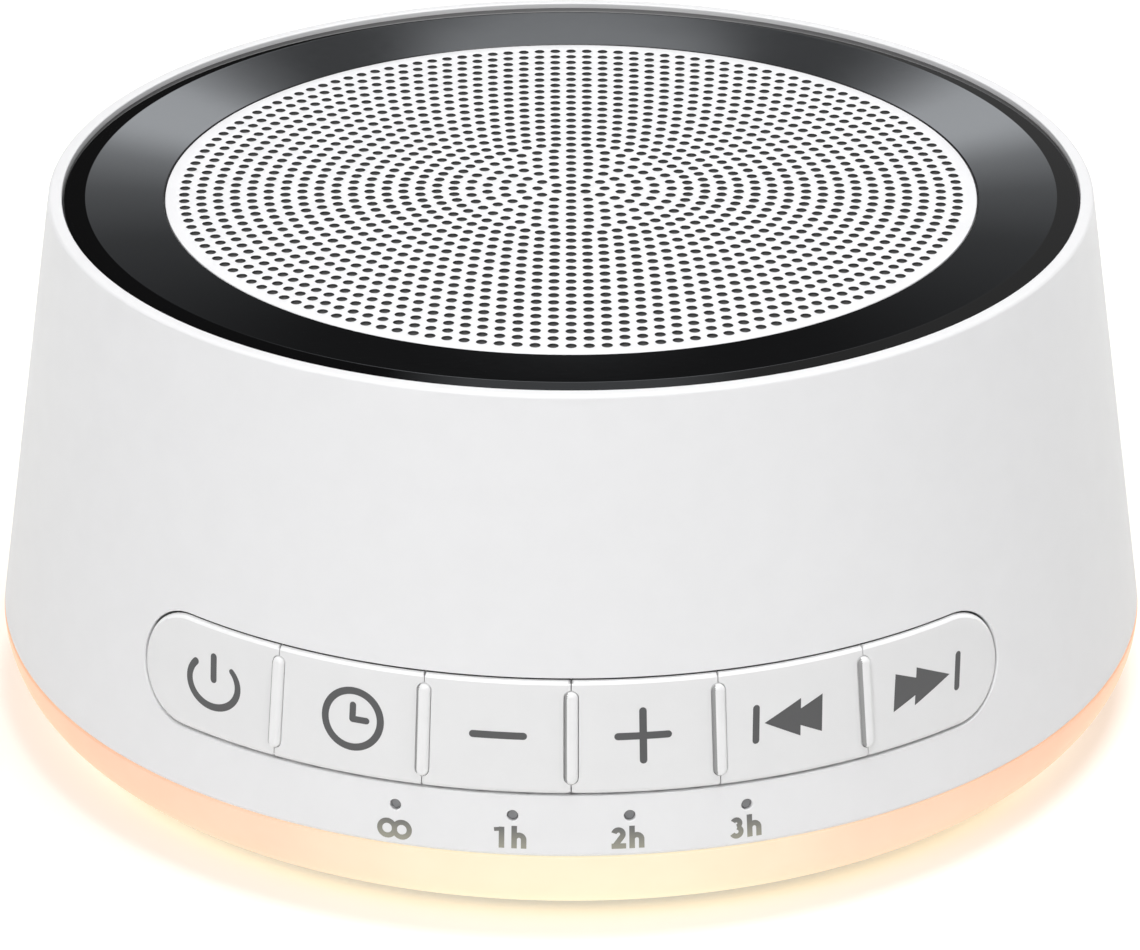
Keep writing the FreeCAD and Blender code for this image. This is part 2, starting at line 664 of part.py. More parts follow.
def make_cone_parts():
    """Surround, cone, dust cap, spider, coil former and winding."""
    land = SPEAKER_FACE + " + surround_sheet"
    outer = SHELF_BORE + " - surround_inset"
    roll_outer = CONE_LIP + " + roll_width - surround_sheet"
    roll_inner = CONE_LIP + " - surround_sheet"
    surround = [
        (outer, SPEAKER_FACE),
        (outer, land),
        (roll_outer, land),
        (roll_inner, land, "roll_width * 0.55", 1),
        (CONE_LIP + " - surround_sheet * 3", land),
        (CONE_LIP + " - surround_sheet * 3", SPEAKER_FACE),
        (CONE_LIP, SPEAKER_FACE),
        (roll_outer + " - surround_sheet", SPEAKER_FACE, "roll_width * 0.436", -1),
    ]
    node(turned_body("cone_surround", surround), "cone_surround")
    neck = PLATE_TOP + " + basket_depth * 0.42"
    cone = [
        ("coil_radius", neck),
        (CONE_LIP + " - surround_sheet * 3.6", SPEAKER_FACE + " - cone_sheet"),
        (CONE_LIP, SPEAKER_FACE + " - cone_sheet"),
        (CONE_LIP, SPEAKER_FACE),
        (CONE_LIP + " - surround_sheet * 4.2", SPEAKER_FACE),
        ("coil_radius", neck + " + cone_sheet * 1.2"),
    ]
    node(turned_body("speaker_cone", cone), "speaker_cone")
    rim = neck + " + cone_sheet * 3.2"
    node(plain(cap_shape(worked(rim)), "dust_cap"), "dust_cap")
    spider_top = BASKET_FLOOR + " + spider_rise"
    step_foot = MOTOR_RADIUS + " - spider_land"
    spider = [
        ("coil_radius + fit * 0.5", spider_top),
        (step_foot + " - spider_slope", spider_top),
        (step_foot, BASKET_FLOOR),
        (MOTOR_RADIUS, BASKET_FLOOR),
        (MOTOR_RADIUS, BASKET_FLOOR + " + coil_wall"),
        (step_foot + " + coil_wall", BASKET_FLOOR + " + coil_wall"),
        (step_foot + " + coil_wall - spider_slope", spider_top + " + coil_wall"),
        ("coil_radius + fit * 0.5", spider_top + " + coil_wall"),
    ]
    node(turned_body("spider", spider), "spider")
    former = ring_body("coil_former", "coil_radius - coil_wall", "coil_radius",
                       MAGNET_TOP + " - plate_thick", neck + " + cone_sheet")
    node(former, "coil_former")
    winding = ring_body("voice_coil", "coil_radius", "coil_radius + coil_wall",
                        MAGNET_TOP + " - plate_thick * 0.5", PLATE_TOP + " + plate_thick * 0.5")
    node(winding, "voice_coil")


def cap_shape(rim_height):
    """A thin dome that stands on the cone, given the height of its rim."""
    curve = size("cap_radius") * 2.2
    centre = FreeCAD.Vector(0, 0, rim_height - math.sqrt(curve ** 2 - size("cap_radius") ** 2))
    dome = Part.makeSphere(curve, centre).cut(Part.makeSphere(curve - size("coil_wall"), centre))
    return dome.common(Part.makeCylinder(size("cap_radius"), curve, FreeCAD.Vector(0, 0, rim_height)))


def make_motor():
    """Top plate, ring magnet and yoke."""
    plate = ring_body("magnet_top_plate", "gap_outer", MOTOR_RADIUS, MAGNET_TOP, PLATE_TOP)
    node(plate, "magnet_top_plate")
    edge = MOTOR_RADIUS + " + magnet_proud"
    magnet = ring_body("speaker_magnet", "magnet_bore", edge, YOKE_TOP, MAGNET_TOP)
    node(magnet, "speaker_magnet")
    yoke = [
        ("0", YOKE_UNDER),
        (MOTOR_RADIUS, YOKE_UNDER),
        (MOTOR_RADIUS, YOKE_TOP),
        ("pole_radius", YOKE_TOP),
        ("pole_radius", PLATE_TOP),
        ("0", PLATE_TOP),
    ]
    node(turned_body("pole_yoke", yoke), "pole_yoke")


def pan_screw(shank, length, head_radius, head_rise):
    """A screw that stands on its head's seat, with its shank upwards and a cross recess."""
    screw = Part.makeCylinder(shank, length)
    head = Part.makeCylinder(head_radius, head_rise, FreeCAD.Vector(0, 0, -head_rise))
    lower = [edge for edge in head.Edges if edge.BoundBox.ZMax < -head_rise * 0.9]
    head = head.makeFillet(head_rise * 0.35, lower)
    slot_long = head_radius * 1.1
    slot_wide = head_radius * 0.26
    slot_deep = head_rise * 0.5
    for long, wide in ((slot_long, slot_wide), (slot_wide, slot_long)):
        bottom = FreeCAD.Vector(-long / 2, -wide / 2, -head_rise)
        head = head.cut(Part.makeBox(long, wide, slot_deep, bottom))
    return screw.fuse(head).removeSplitter()


def make_speaker_screws():
    """Four screws that hold the loudspeaker under the shelf."""
    length = worked("flange_thick + gasket_thick + baffle_thick * 0.7")
    shank = size("shank_radius")
    screw = pan_screw(shank, length, shank * 1.5, size("flange_thick"))
    seat_height = worked(SPEAKER_FACE + " - flange_thick")
    screw.translate(FreeCAD.Vector(worked(SPEAKER_SCREW_RING), 0, seat_height))
    node(plain(polar_group(screw, 4, POST_TURN), "speaker_screws"), "speaker_screws")


def make_speaker_terminals():
    """Tag strip under the rear of the flange, with two solder tags."""
    width = size("lead_spread") * 4
    depth = size("tag_strip_depth")
    back = terminal_line()
    bottom = worked(SPEAKER_FACE + " - flange_thick - tag_strip_thick")
    corner = FreeCAD.Vector(-width / 2, back - depth / 2, bottom)
    strip_box = Part.makeBox(width, depth, size("tag_strip_thick"), corner)
    wide, thick, drop = size("tag_width"), size("tag_thick"), size("tag_drop")
    for side in (-1, 1):
        corner = FreeCAD.Vector(side * size("lead_spread") - wide / 2, back - thick / 2, bottom - drop)
        strip_box = strip_box.fuse(Part.makeBox(wide, thick, drop, corner))
    node(plain(strip_box.removeSplitter(), "speaker_terminals"), "speaker_terminals")


def terminal_line():
    """Distance of the speaker tags behind the centre."""
    return worked(FLANGE_RADIUS + " - tag_strip_depth")


# Keys

KEYS = [
    ("key_power", -3),
    ("key_timer", -2),
    ("key_volume_down", -1),
    ("key_volume_up", 1),
    ("key_previous", 2),
    ("key_next", 3),
]


def key_angle(place):
    """Angle of a key's middle. Places count out from the front, left negative."""
    names = {1: "key_angle_one", 2: "key_angle_two", 3: "key_angle_three"}
    return math.copysign(size(names[abs(place)]), place)


def rib_angles():
    """Angles of the five ribs."""
    inner, outer = size("rib_angle_one"), size("rib_angle_two")
    return [-outer, -inner, 0.0, inner, outer]


def led_angles():
    """Angles of the four indicator holes."""
    inner, outer = size("led_angle_one"), size("led_angle_two")
    return [-outer, -inner, inner, outer]


def rib_bar(grow, outer_depth, inner_depth):
    """A round-ended bar for a rib, drawn at the origin."""
    radius = size("rib_width") / 2 + grow
    reach = (size("rib_length") - size("rib_width")) / 2
    rise = inner_depth - outer_depth
    bar = Part.makeBox(radius * 2, reach * 2, rise, FreeCAD.Vector(-radius, -reach, -inner_depth))
    for side in (-1, 1):
        end = Part.makeCylinder(radius, rise, FreeCAD.Vector(0, side * reach, -inner_depth))
        bar = bar.fuse(end)
    return bar.removeSplitter()


def rounded_rib(angle):
    """A rib with a softened crest, standing in its place."""
    bar = rib_bar(0.0, -size("rib_proud"), size("frame_depth") + size("frame_thick") / 2)
    crest = [edge for edge in bar.Edges if edge.BoundBox.ZMin > size("rib_proud") - 0.001]
    return seated(bar.makeFillet(size("rib_round"), crest), angle, size("key_height"))


def key_edges(place):
    """The two angles between which a key lies."""
    ribs = rib_angles() + [size("key_end_angle") * 1.25]
    first = {1: 2, 2: 3, 3: 4}[abs(place)]
    low, high = ribs[first], ribs[first + 1]
    half_gap = math.degrees(size("key_split") / 2 / surface_radius(size("key_height")))
    low += half_gap
    high -= half_gap
    return (low, high) if place > 0 else (-high, -low)


def make_key(label, place):
    """One key: its curved cap, the notches for its ribs and its stem."""
    start, finish = key_edges(place)
    proud = -size("key_proud")
    thick = size("key_thick")
    half = size("key_rise")
    middle = size("key_height")
    cap = band(proud, thick, middle - half, middle + half, start, finish)
    cap = cap.common(strip(proud - 1.0, thick + 1.0, size("key_gap")))
    for angle in rib_angles():
        if start - 1.0 < angle < finish + 1.0:
            notch = rib_bar(size("rib_clearance"), -2.0, thick + 1.0)
            cap = cap.cut(seated(notch, angle, middle))
    stem_end = size("switch_depth") - size("plunger_length") + size("plunger_inside")
    stem = stub(size("stem_radius"), thick / 2, stem_end, key_angle(place), middle)
    node(plain(cap.fuse(stem).removeSplitter(), label), label)


def make_plunger(label, place):
    """The switch plunger that moves with a key."""
    tip = size("switch_depth") + size("plunger_inside")
    start = tip - size("plunger_length")
    plunger = stub(size("plunger_radius"), start, tip, key_angle(place), size("key_height"))
    node(plain(plunger, label), label)


def make_key_frame():
    """Curved carrier behind the keys, with the five ribs on it."""
    middle = size("key_height")
    half = size("key_rise") / 2 + size("frame_overlap")
    reach = between_blocks()
    depth = size("frame_depth")
    back = depth + size("frame_thick")
    frame = band(depth, back, middle - half, middle + half, -reach, reach)
    hole = size("stem_radius") + size("stem_clearance")
    for _, place in KEYS:
        frame = frame.cut(stub(hole, depth - 1.0, back + 1.0, key_angle(place), middle))
    ribs = [rounded_rib(angle) for angle in rib_angles()]
    node(plain(frame.multiFuse(ribs).removeSplitter(), "key_frame"), "key_frame")


def make_key_switches():
    """Six square switch cases, each with a blind hole for its plunger."""
    cases = []
    side = size("switch_size")
    thick = size("switch_thick")
    depth = size("switch_depth")
    hole_depth = size("plunger_inside") + size("key_travel") + size("plunger_clearance")
    corner = FreeCAD.Vector(-side / 2, -side / 2, -depth - thick)
    for _, place in KEYS:
        case = Part.makeBox(side, side, thick, corner)
        upright = [edge for edge in case.Edges if edge.BoundBox.ZLength > thick / 2]
        case = case.makeChamfer(side * 0.08, upright)
        hole = Part.makeCylinder(size("plunger_radius") + size("plunger_clearance"), hole_depth,
                                 FreeCAD.Vector(0, 0, -depth - hole_depth))
        cases.append(seated(case.cut(hole), key_angle(place), size("key_height")))
    node(plain(Part.makeCompound(cases), "key_switches"), "key_switches")


def between_blocks():
    """Half the angle that is free between the carrier's end blocks."""
    return size("bracket_reach") - size("bracket_arm") - size("bracket_end_gap")


def flex_depth():
    """Depth of the curved circuit's outer face."""
    return size("switch_depth") + size("switch_thick")


def make_key_flex():
    """Curved circuit that carries the switches and the indicator lights."""
    reach = between_blocks()
    low = worked(LED_HEIGHT) - size("flex_edge")
    high = size("key_height") + size("key_rise") / 2
    depth = flex_depth()
    flex = band(depth, depth + size("flex_thick"), low, high, -reach, reach)
    node(plain(flex, "key_flex"), "key_flex")


def make_key_bracket():
    """Carrier behind the curved circuit, with an end block against the housing wall each side."""
    reach = size("bracket_reach")
    low = worked(LED_HEIGHT) - size("flex_edge") - size("bracket_edge")
    high = size("key_height") + size("key_rise") / 2 + size("bracket_edge")
    front = flex_depth() + size("flex_thick")
    back = front + size("bracket_thick")
    carrier = band(front, back, low, high, -reach, reach)
    wall_face = size("wall") + size("fit")
    blocks = [
        band(wall_face, back, low, high, reach - size("bracket_arm"), reach),
        band(wall_face, back, low, high, -reach, size("bracket_arm") - reach),
    ]
    node(plain(carrier.multiFuse(blocks).removeSplitter(), "key_bracket"), "key_bracket")


def make_indicators():
    """Light pipes behind the four small holes, and the lights behind the pipes."""
    height = worked(LED_HEIGHT)
    tip = flex_depth() - size("led_thick")
    radius = size("led_hole_radius") - size("pipe_clearance")
    pipes = [stub(radius, size("pipe_recess"), tip, angle, height) for angle in led_angles()]
    node(plain(Part.makeCompound(pipes), "light_pipes"), "light_pipes")
    lights = []
    wide, deep = size("led_width"), size("led_depth")
    corner = FreeCAD.Vector(-wide / 2, -deep / 2, -flex_depth())
    for angle in led_angles():
        light = Part.makeBox(wide, deep, size("led_thick"), corner)
        lights.append(seated(light, angle, height))
    node(plain(Part.makeCompound(lights), "indicator_leds"), "indicator_leds")


# Light ring and base

def make_light_ring():
    """Translucent ring with a collar that stands inside the housing."""
    collar = "seam_radius - wall - spigot_gap"
    collar_inner = collar + " - spigot_width"
    shoulder = "seam_height - spigot_width"
    curve_inner = "ring_curve - ring_wall"
    corners = [
        (RING_FOOT, "foot_stand"),
        ("seam_radius", "seam_height", "ring_curve", 1),
        (collar, "seam_height"),
        (collar, "seam_height + spigot_rise"),
        (collar_inner, "seam_height + spigot_rise"),
        (collar_inner, shoulder),
        ("seam_radius - ring_wall - fit", shoulder),
        (BASE_RADIUS + " + fit * 2.5", BASE_TOP, curve_inner, -1),
        (BASE_RADIUS + " + fit * 2.5", "foot_stand"),
    ]
    node(turned_body("light_ring", corners), "light_ring")


def make_base_cover():
    """Bottom plate with the light chamber's wall, screw sleeves and stand-offs."""
    corners = [
        ("0", "foot_stand"),
        (BASE_RADIUS, "foot_stand"),
        (BASE_RADIUS, BASE_TOP),
        (CHAMBER_RADIUS, BASE_TOP),
        (CHAMBER_RADIUS, "light_board_height"),
        (CHAMBER_INNER, "light_board_height"),
        (CHAMBER_INNER, BASE_TOP),
        ("0", BASE_TOP),
    ]
    body = turned_body("base_body", corners)
    sketch = circle_sketch(body, "sleeve_sketch", BASE_TOP, [(POST_RING, "sleeve_radius")])
    sleeve = pad(body, "sleeves", sketch, "post_foot - foot_stand - base_thick")
    sketch = circle_sketch(body, "base_hole_sketch", "foot_stand",
                           [(POST_RING, "shank_radius + fit * 2")])
    hole = pocket(body, "base_holes", sketch, "post_foot - foot_stand", True)
    sketch = circle_sketch(body, "counterbore_sketch", "foot_stand",
                           [(POST_RING, "counterbore_radius")])
    sink = pocket(body, "counterbores", sketch, "counterbore_depth", True)
    around(body, "sleeve_pattern", [sleeve, hole, sink], 4)
    sketch = circle_sketch(body, "standoff_sketch", BASE_TOP,
                           [(STANDOFF_RING, "standoff_radius")])
    standoff = pad(body, "standoffs", sketch, "board_height - foot_stand - base_thick")
    sketch = circle_sketch(body, "standoff_hole_sketch", "board_height",
                           [(STANDOFF_RING, "board_screw_radius + fit")])
    bore = pocket(body, "standoff_holes", sketch, "board_height - foot_stand - base_thick", False)
    around(body, "standoff_pattern", [standoff, bore], 3)
    body.Placement = FreeCAD.Placement(CENTRE, FreeCAD.Rotation(UPRIGHT, POST_TURN))
    recess = size("foot_radius") + size("fit")
    spot = FreeCAD.Vector(worked(FOOT_RING), 0, size("foot_stand"))
    pit = Part.makeCylinder(recess, size("foot_sunk"), spot)
    cutter = plain(polar_group(pit, 4, 0), "foot_recesses")
    base = doc.addObject("Part::Cut", "base_cut")
    base.Base = body
    base.Tool = cutter
    node(base, "base_cover")


def make_feet():
    """Four rubber feet in recesses of the base."""
    foot = Part.makeCylinder(size("foot_radius"), worked("foot_stand + foot_sunk"),
                             FreeCAD.Vector(worked(FOOT_RING), 0, 0))
    node(plain(polar_group(foot, 4, 0), "feet"), "feet")


def make_base_screws():
    """Four long screws from the base into the housing's posts."""
    head_seat = worked("foot_stand + counterbore_depth")
    length = worked("post_foot - foot_stand - counterbore_depth + screw_grip")
    head_radius = worked("counterbore_radius - fit * 4")
    screw = pan_screw(size("shank_radius"), length, head_radius, size("screw_head"))
    screw.translate(FreeCAD.Vector(worked(POST_RING), 0, head_seat))
    node(plain(polar_group(screw, 4, POST_TURN), "base_screws"), "base_screws")


def make_light_board():
    """Ring-shaped board on the chamber wall, with its lights facing down."""
    outer = "seam_radius - wall - spigot_gap - spigot_width - fit * 2"
    top = "light_board_height + light_board_thick"
    node(ring_body("light_board", CHAMBER_INNER, outer, "light_board_height", top), "light_board")
    wide, deep, thick = size("lamp_width"), size("lamp_depth"), size("lamp_thick")
    middle = worked(CHAMBER_RADIUS + " + lamp_inset")
    corner = FreeCAD.Vector(middle - deep / 2, -wide / 2, size("light_board_height") - thick)
    lamp = Part.makeBox(deep, wide, thick, corner)
    group = polar_group(lamp, int(size("light_count")), LAMP_TURN)
    node(plain(group, "light_leds"), "light_leds")


# Electronics

def make_main_board():
    """Round board with a tail that carries the power socket."""
    disc = doc.addObject("Part::Cylinder", "board_disc")
    disc.setExpression("Radius", bound(BOARD_RADIUS))
    disc.setExpression("Height", bound("board_thick"))
    disc.setExpression("Placement.Base.z", bound("board_height"))
    tail = doc.addObject("Part::Box", "board_tail")
    tail.setExpression("Length", bound("board_tail_width"))
    tail.setExpression("Width", bound(socket_face() + " - tail_inset - board_tail_start"))
    tail.setExpression("Height", bound("board_thick"))
    tail.setExpression("Placement.Base.x", bound("0 - board_tail_width * 0.5"))
    tail.setExpression("Placement.Base.y", bound("board_tail_start"))
    tail.setExpression("Placement.Base.z", bound("board_height"))
    joined = doc.addObject("Part::Fuse", "board_joined")
    joined.Base = disc
    joined.Tool = tail
    spot = FreeCAD.Vector(worked(STANDOFF_RING), 0, size("board_height") - 1.0)
    radius = size("board_screw_radius") + size("fit")
    hole = Part.makeCylinder(radius, size("board_thick") + 2.0, spot)
    cutter = plain(polar_group(hole, 3, POST_TURN), "board_holes")
    board = doc.addObject("Part::Cut", "board_cut")
    board.Base = joined
    board.Tool = cutter
    node(board, "main_board")


def make_board_screws():
    """Three screws that hold the main board down."""
    shank = size("board_screw_radius")
    length = size("board_thick") + size("board_screw_grip")
    screw = pan_screw(shank, length, shank * 2.0, size("board_screw_head"))
    screw.rotate(CENTRE, SIDEWAYS, 180)
    screw.translate(FreeCAD.Vector(worked(STANDOFF_RING), 0, worked(BOARD_TOP)))
    node(plain(polar_group(screw, 3, POST_TURN), "board_screws"), "board_screws")


def on_board(block):
    """A block on the main board: width, depth, rise, and its place as shares of the board's radius."""
    width, depth, rise, across, along = block
    radius = worked(BOARD_RADIUS)
    spot = FreeCAD.Vector(across * radius - width / 2, along * radius - depth / 2, worked(BOARD_TOP))
    return Part.makeBox(width, depth, rise, spot)


def make_board_components():
    """Chips, capacitors and connectors on the main board."""
    chips = Part.makeCompound([on_board(block) for block in CHIPS])
    node(plain(chips, "board_chips"), "board_chips")
    cans = []
    rise = size("capacitor_rise")
    for across, along in CAPACITOR_PLACES:
        spot = FreeCAD.Vector(across, along, 0) * worked(BOARD_RADIUS)
        spot.z = worked(BOARD_TOP)
        can = Part.makeCylinder(size("capacitor_radius"), rise, spot)
        upper = [edge for edge in can.Edges if edge.BoundBox.ZMin > spot.z + rise / 2]
        cans.append(can.makeFillet(size("capacitor_round"), upper))
    node(plain(Part.makeCompound(cans), "board_capacitors"), "board_capacitors")
    connectors = Part.makeCompound([on_board(block) for block in CONNECTORS])
    node(plain(connectors, "board_connectors"), "board_connectors")


def speaker_connector():
    """Middle of the speaker connector's top face."""
    _, _, rise, across, along = CONNECTORS[0]
    radius = worked(BOARD_RADIUS)
    return FreeCAD.Vector(across * radius, along * radius, worked(BOARD_TOP) + rise)


def make_speaker_leads():
    """Two insulated wires from the speaker tags down to their connector."""
    leads = []
    top = worked(SPEAKER_FACE + " - flange_thick - tag_strip_thick - tag_drop")
    socket_top = speaker_connector()
    drop = FreeCAD.Vector(0, 0, size("lead_drop"))
    for side in (-1, 1):
        upper = FreeCAD.Vector(side * size("lead_spread"), terminal_line(), top)
        lower = socket_top + FreeCAD.Vector(side * size("pin_spread"), 0, 0)
        leads.append(wire_tube([upper, upper - drop, lower + drop, lower], size("lead_radius")))
    node(plain(Part.makeCompound(leads), "speaker_leads"), "speaker_leads")


def wire_tube(spots, radius):
    """A round tube along straight runs joined by tangent arcs."""
    edges = []
    start = spots[0]
    for index in range(1, len(spots) - 1):
        before = spots[index] - spots[index - 1]
        after = spots[index + 1] - spots[index]
        cut = 0.45 * min(before.Length, after.Length)
        before.normalize()
        after.normalize()
        turn = before.getAngle(after)
        bend = cut / math.tan(turn / 2)
        first = spots[index] - before * cut
        last = spots[index] + after * cut
        inward = (after - before).normalize()
        centre = spots[index] + inward * (bend / math.cos(turn / 2))
        middle = centre - inward * bend
        edges.append(Part.LineSegment(start, first).toShape())
        edges.append(Part.Arc(first, middle, last).toShape())
        start = last
    edges.append(Part.LineSegment(start, spots[-1]).toShape())
    route = Part.Wire(edges)
    direction = (spots[1] - spots[0]).normalize()
    section = Part.Wire(Part.makeCircle(radius, spots[0], direction))
    tube = route.makePipeShell([section], True, False)
    full = math.pi * radius ** 2 * route.Length
    print("lead length %.1f, volume ratio %.4f" % (route.Length, tube.Volume / full))
    return tube


def socket_face():
    """Text of the distance from the centre to the mouth of the power socket."""
    return cone_radius(BOARD_TOP) + " - socket_recess"


def socket_block(grow, extra):
    """The rounded outline of the power socket, grown all round and lengthened outwards."""
    width = size("socket_width") + grow * 2
    rise = size("socket_rise") + grow * 2
    middle = worked(BOARD_TOP) + size("socket_rise") / 2
    start = worked(socket_face()) - size("socket_length")
    spot = FreeCAD.Vector(-width / 2, start, middle - rise / 2)
    block = Part.makeBox(width, size("socket_length") + extra, rise, spot)
    along = [edge for edge in block.Edges if edge.BoundBox.YLength > size("socket_length") / 2]
    return block.makeFillet(rise * 0.42, along)


def make_power_socket():
    """Metal shell of the power socket and the tongue inside it."""
    outer = socket_block(0.0, 0.0)
    inner = socket_block(-size("socket_sheet"), 0.0)
    inner.translate(FreeCAD.Vector(0, size("socket_sheet") * 3, 0))
    node(plain(outer.cut(inner), "power_socket"), "power_socket")
    middle = worked(BOARD_TOP) + size("socket_rise") / 2
    back = worked(socket_face()) - size("socket_length") + size("socket_sheet") * 3
    wide = size("socket_width") * 0.75
    thick = size("tongue_thick")
    corner = FreeCAD.Vector(-wide / 2, back, middle - thick / 2)
    tongue = Part.makeBox(wide, size("socket_length") * 0.7, thick, corner)
    node(plain(tongue, "socket_tongue"), "socket_tongue")


def check_and_write():
    """Stops on a failed object, then writes every piece."""
    doc.recompute()
    for item in doc.Objects:
        if "Invalid" in item.State or "Error" in item.State:
            raise ValueError(item.Label + " failed")
    for item in nodes:
        if item.Shape.isNull() or not item.Shape.isValid():
            raise ValueError(item.Label + " has no sound shape")
        item.Shape.exportStep("parts/" + item.Label + ".step")
        print(item.Label, len(item.Shape.Solids), round(item.Shape.Volume, 1))


fill_sheet()
make_upper_shell()
make_bezel_ring()
make_speaker_grille()
make_grille_cloth()
make_speaker_gasket()
make_speaker_frame()
make_cone_parts()
make_motor()
make_speaker_screws()
make_speaker_terminals()
for key_label, key_place in KEYS:
    make_key(key_label, key_place)
    make_plunger(key_label + "_plunger", key_place)
make_key_frame()
make_key_switches()
make_key_flex()
make_key_bracket()
make_indicators()
make_light_ring()
make_base_cover()
make_feet()
make_base_screws()
make_light_board()
make_main_board()
make_board_screws()
make_board_components()
make_speaker_leads()
make_power_socket()
check_and_write()
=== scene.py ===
"""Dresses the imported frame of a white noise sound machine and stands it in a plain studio.

Sizes are in millimetres, as in the part's source, and each mesh is made in metres.
+Z is up, the keys face -Y, and the origin lies on the table under the centre.
Angles on the housing are in degrees from the front, positive towards +X.

MERGE is the distance within which points become one, CREASE the angle above which an edge stays
sharp, ROUND_STEPS the flats round the large outer pieces, FIGURE_SUNK how far a printed figure
reaches into its surface, and WAVE_RATE what Blender's wave texture multiplies its places by.
"""

import logging
import math
from dataclasses import dataclass, field
from enum import Enum
from typing import Callable, Iterable, Sequence

import bmesh
import bpy
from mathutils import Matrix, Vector
from mathutils.geometry import delaunay_2d_cdt

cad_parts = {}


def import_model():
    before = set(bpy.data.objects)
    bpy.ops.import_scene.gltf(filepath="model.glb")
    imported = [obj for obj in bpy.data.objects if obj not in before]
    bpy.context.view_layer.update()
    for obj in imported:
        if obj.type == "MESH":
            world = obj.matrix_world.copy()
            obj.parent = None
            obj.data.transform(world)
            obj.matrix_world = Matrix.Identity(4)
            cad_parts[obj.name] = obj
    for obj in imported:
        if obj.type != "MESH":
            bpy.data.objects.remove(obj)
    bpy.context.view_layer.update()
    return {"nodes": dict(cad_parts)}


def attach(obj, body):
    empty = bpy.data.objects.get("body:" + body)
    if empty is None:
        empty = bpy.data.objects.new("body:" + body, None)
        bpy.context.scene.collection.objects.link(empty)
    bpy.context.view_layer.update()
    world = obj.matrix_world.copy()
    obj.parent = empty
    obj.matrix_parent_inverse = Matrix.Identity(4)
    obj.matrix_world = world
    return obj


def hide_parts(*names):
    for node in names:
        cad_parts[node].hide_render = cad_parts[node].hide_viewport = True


LOG = logging.getLogger("sound_machine")

MM = 0.001
MERGE = 0.0005
CREASE = 38.0
ROUND_STEPS = 720
FIGURE_SUNK = 0.03
WAVE_RATE = 20.0

Spot = tuple[float, float]
Corner = tuple[float, float, float]
Colour = tuple[float, float, float]
Outline = list[Spot]


class Carving(Enum):
    """What a boolean does with its tools."""

    CUT = "DIFFERENCE"
    JOIN = "UNION"
    KEEP = "INTERSECT"


# Flat outlines

def rounded(corners: Sequence[Corner], steps: int = 5) -> Outline:
    """Rounds the corners of a closed outline.

    Args:
        corners: Across, up and rounding radius of each corner, in order.
        steps: Flats in each round.

    Returns:
        The outline's points.
    """
    spots = []
    for index, (across, up, radius) in enumerate(corners):
        if radius == 0:
            spots.append((across, up))
            continue
        here = Vector((across, up))
        before = (Vector(corners[index - 1][:2]) - here).normalized()
        after = (Vector(corners[(index + 1) % len(corners)][:2]) - here).normalized()
        half = before.angle(after) / 2
        middle = here + (before + after).normalized() * (radius / math.sin(half))
        start = here + before * (radius / math.tan(half)) - middle
        finish = here + after * (radius / math.tan(half)) - middle
        first = math.atan2(start.y, start.x)
        sweep = (math.atan2(finish.y, finish.x) - first + math.pi) % math.tau - math.pi
        for step in range(steps + 1):
            turn = first + sweep * step / steps
            spots.append((middle.x + radius * math.cos(turn), middle.y + radius * math.sin(turn)))
    return spots


def bulge(start: Spot, finish: Spot, radius: float, side: int, steps: int) -> list[Corner]:
    """Corners along an arc of under a half circle.

    Args:
        start: First end.
        finish: Last end.
        radius: The arc's radius.
        side: 1 puts the arc's centre to the left of the way from start to finish, -1 to the right.
        steps: Flats in the arc.

    Returns:
        Unrounded corners, both ends included.
    """
    first, last = Vector(start), Vector(finish)
    chord = last - first
    square = Vector((-chord.y, chord.x)).normalized()
    middle = (first + last) / 2 + square * side * math.sqrt(radius ** 2 - chord.length ** 2 / 4)
    turn = math.atan2(first.y - middle.y, first.x - middle.x)
    end = math.atan2(last.y - middle.y, last.x - middle.x)
    sweep = (end - turn + math.pi) % math.tau - math.pi
    turns = [turn + sweep * step / steps for step in range(steps + 1)]
    return [(middle.x + radius * math.cos(a), middle.y + radius * math.sin(a), 0.0) for a in turns]


def arc_route(middle: Spot, radius: float, first: float, last: float, steps: int = 40) -> Outline:
    """Points along an arc, from one angle in degrees to another."""
    turns = [math.radians(first + (last - first) * step / steps) for step in range(steps + 1)]
    return [(middle[0] + radius * math.cos(a), middle[1] + radius * math.sin(a)) for a in turns]


def circle(middle: Spot, radius: float, steps: int = 64) -> Outline:
    """Points round a circle."""
    return arc_route(middle, radius, 0.0, 360.0, steps)[:-1]


def rectangle(across: float, up: float, corner: float, steps: int) -> Outline:
    """A round-cornered rectangle about the middle, from half its width and half its height."""
    corners = [(-across, -up, corner), (across, -up, corner), (across, up, corner), (-across, up, corner)]
    return rounded(corners, steps)


def quarter_round(radius: float, top: float) -> list[Spot]:
    """How far each point of a rounded edge is pulled in, and its height, from its foot to its top."""
    turns = [math.radians(angle) for angle in range(0, 91, 10)]
    return [(radius * (1 - math.cos(a)), top - radius * (1 - math.sin(a))) for a in turns]


def ring_spots(ring: float, count: int, first: float = 45.0) -> list[Spot]:
    """Places spaced evenly round the middle, from a first angle in degrees."""
    turns = [math.radians(first + 360.0 * index / count) for index in range(count)]
    return [(ring * math.cos(a), ring * math.sin(a)) for a in turns]


def polar(radius: float, turn: float, height: float, middle: Sequence[float] = (0.0, 0.0)) -> Vector:
    """The point at a radius and an angle in radians about an upright axis."""
    return Vector((middle[0] + radius * math.cos(turn), middle[1] + radius * math.sin(turn), height))


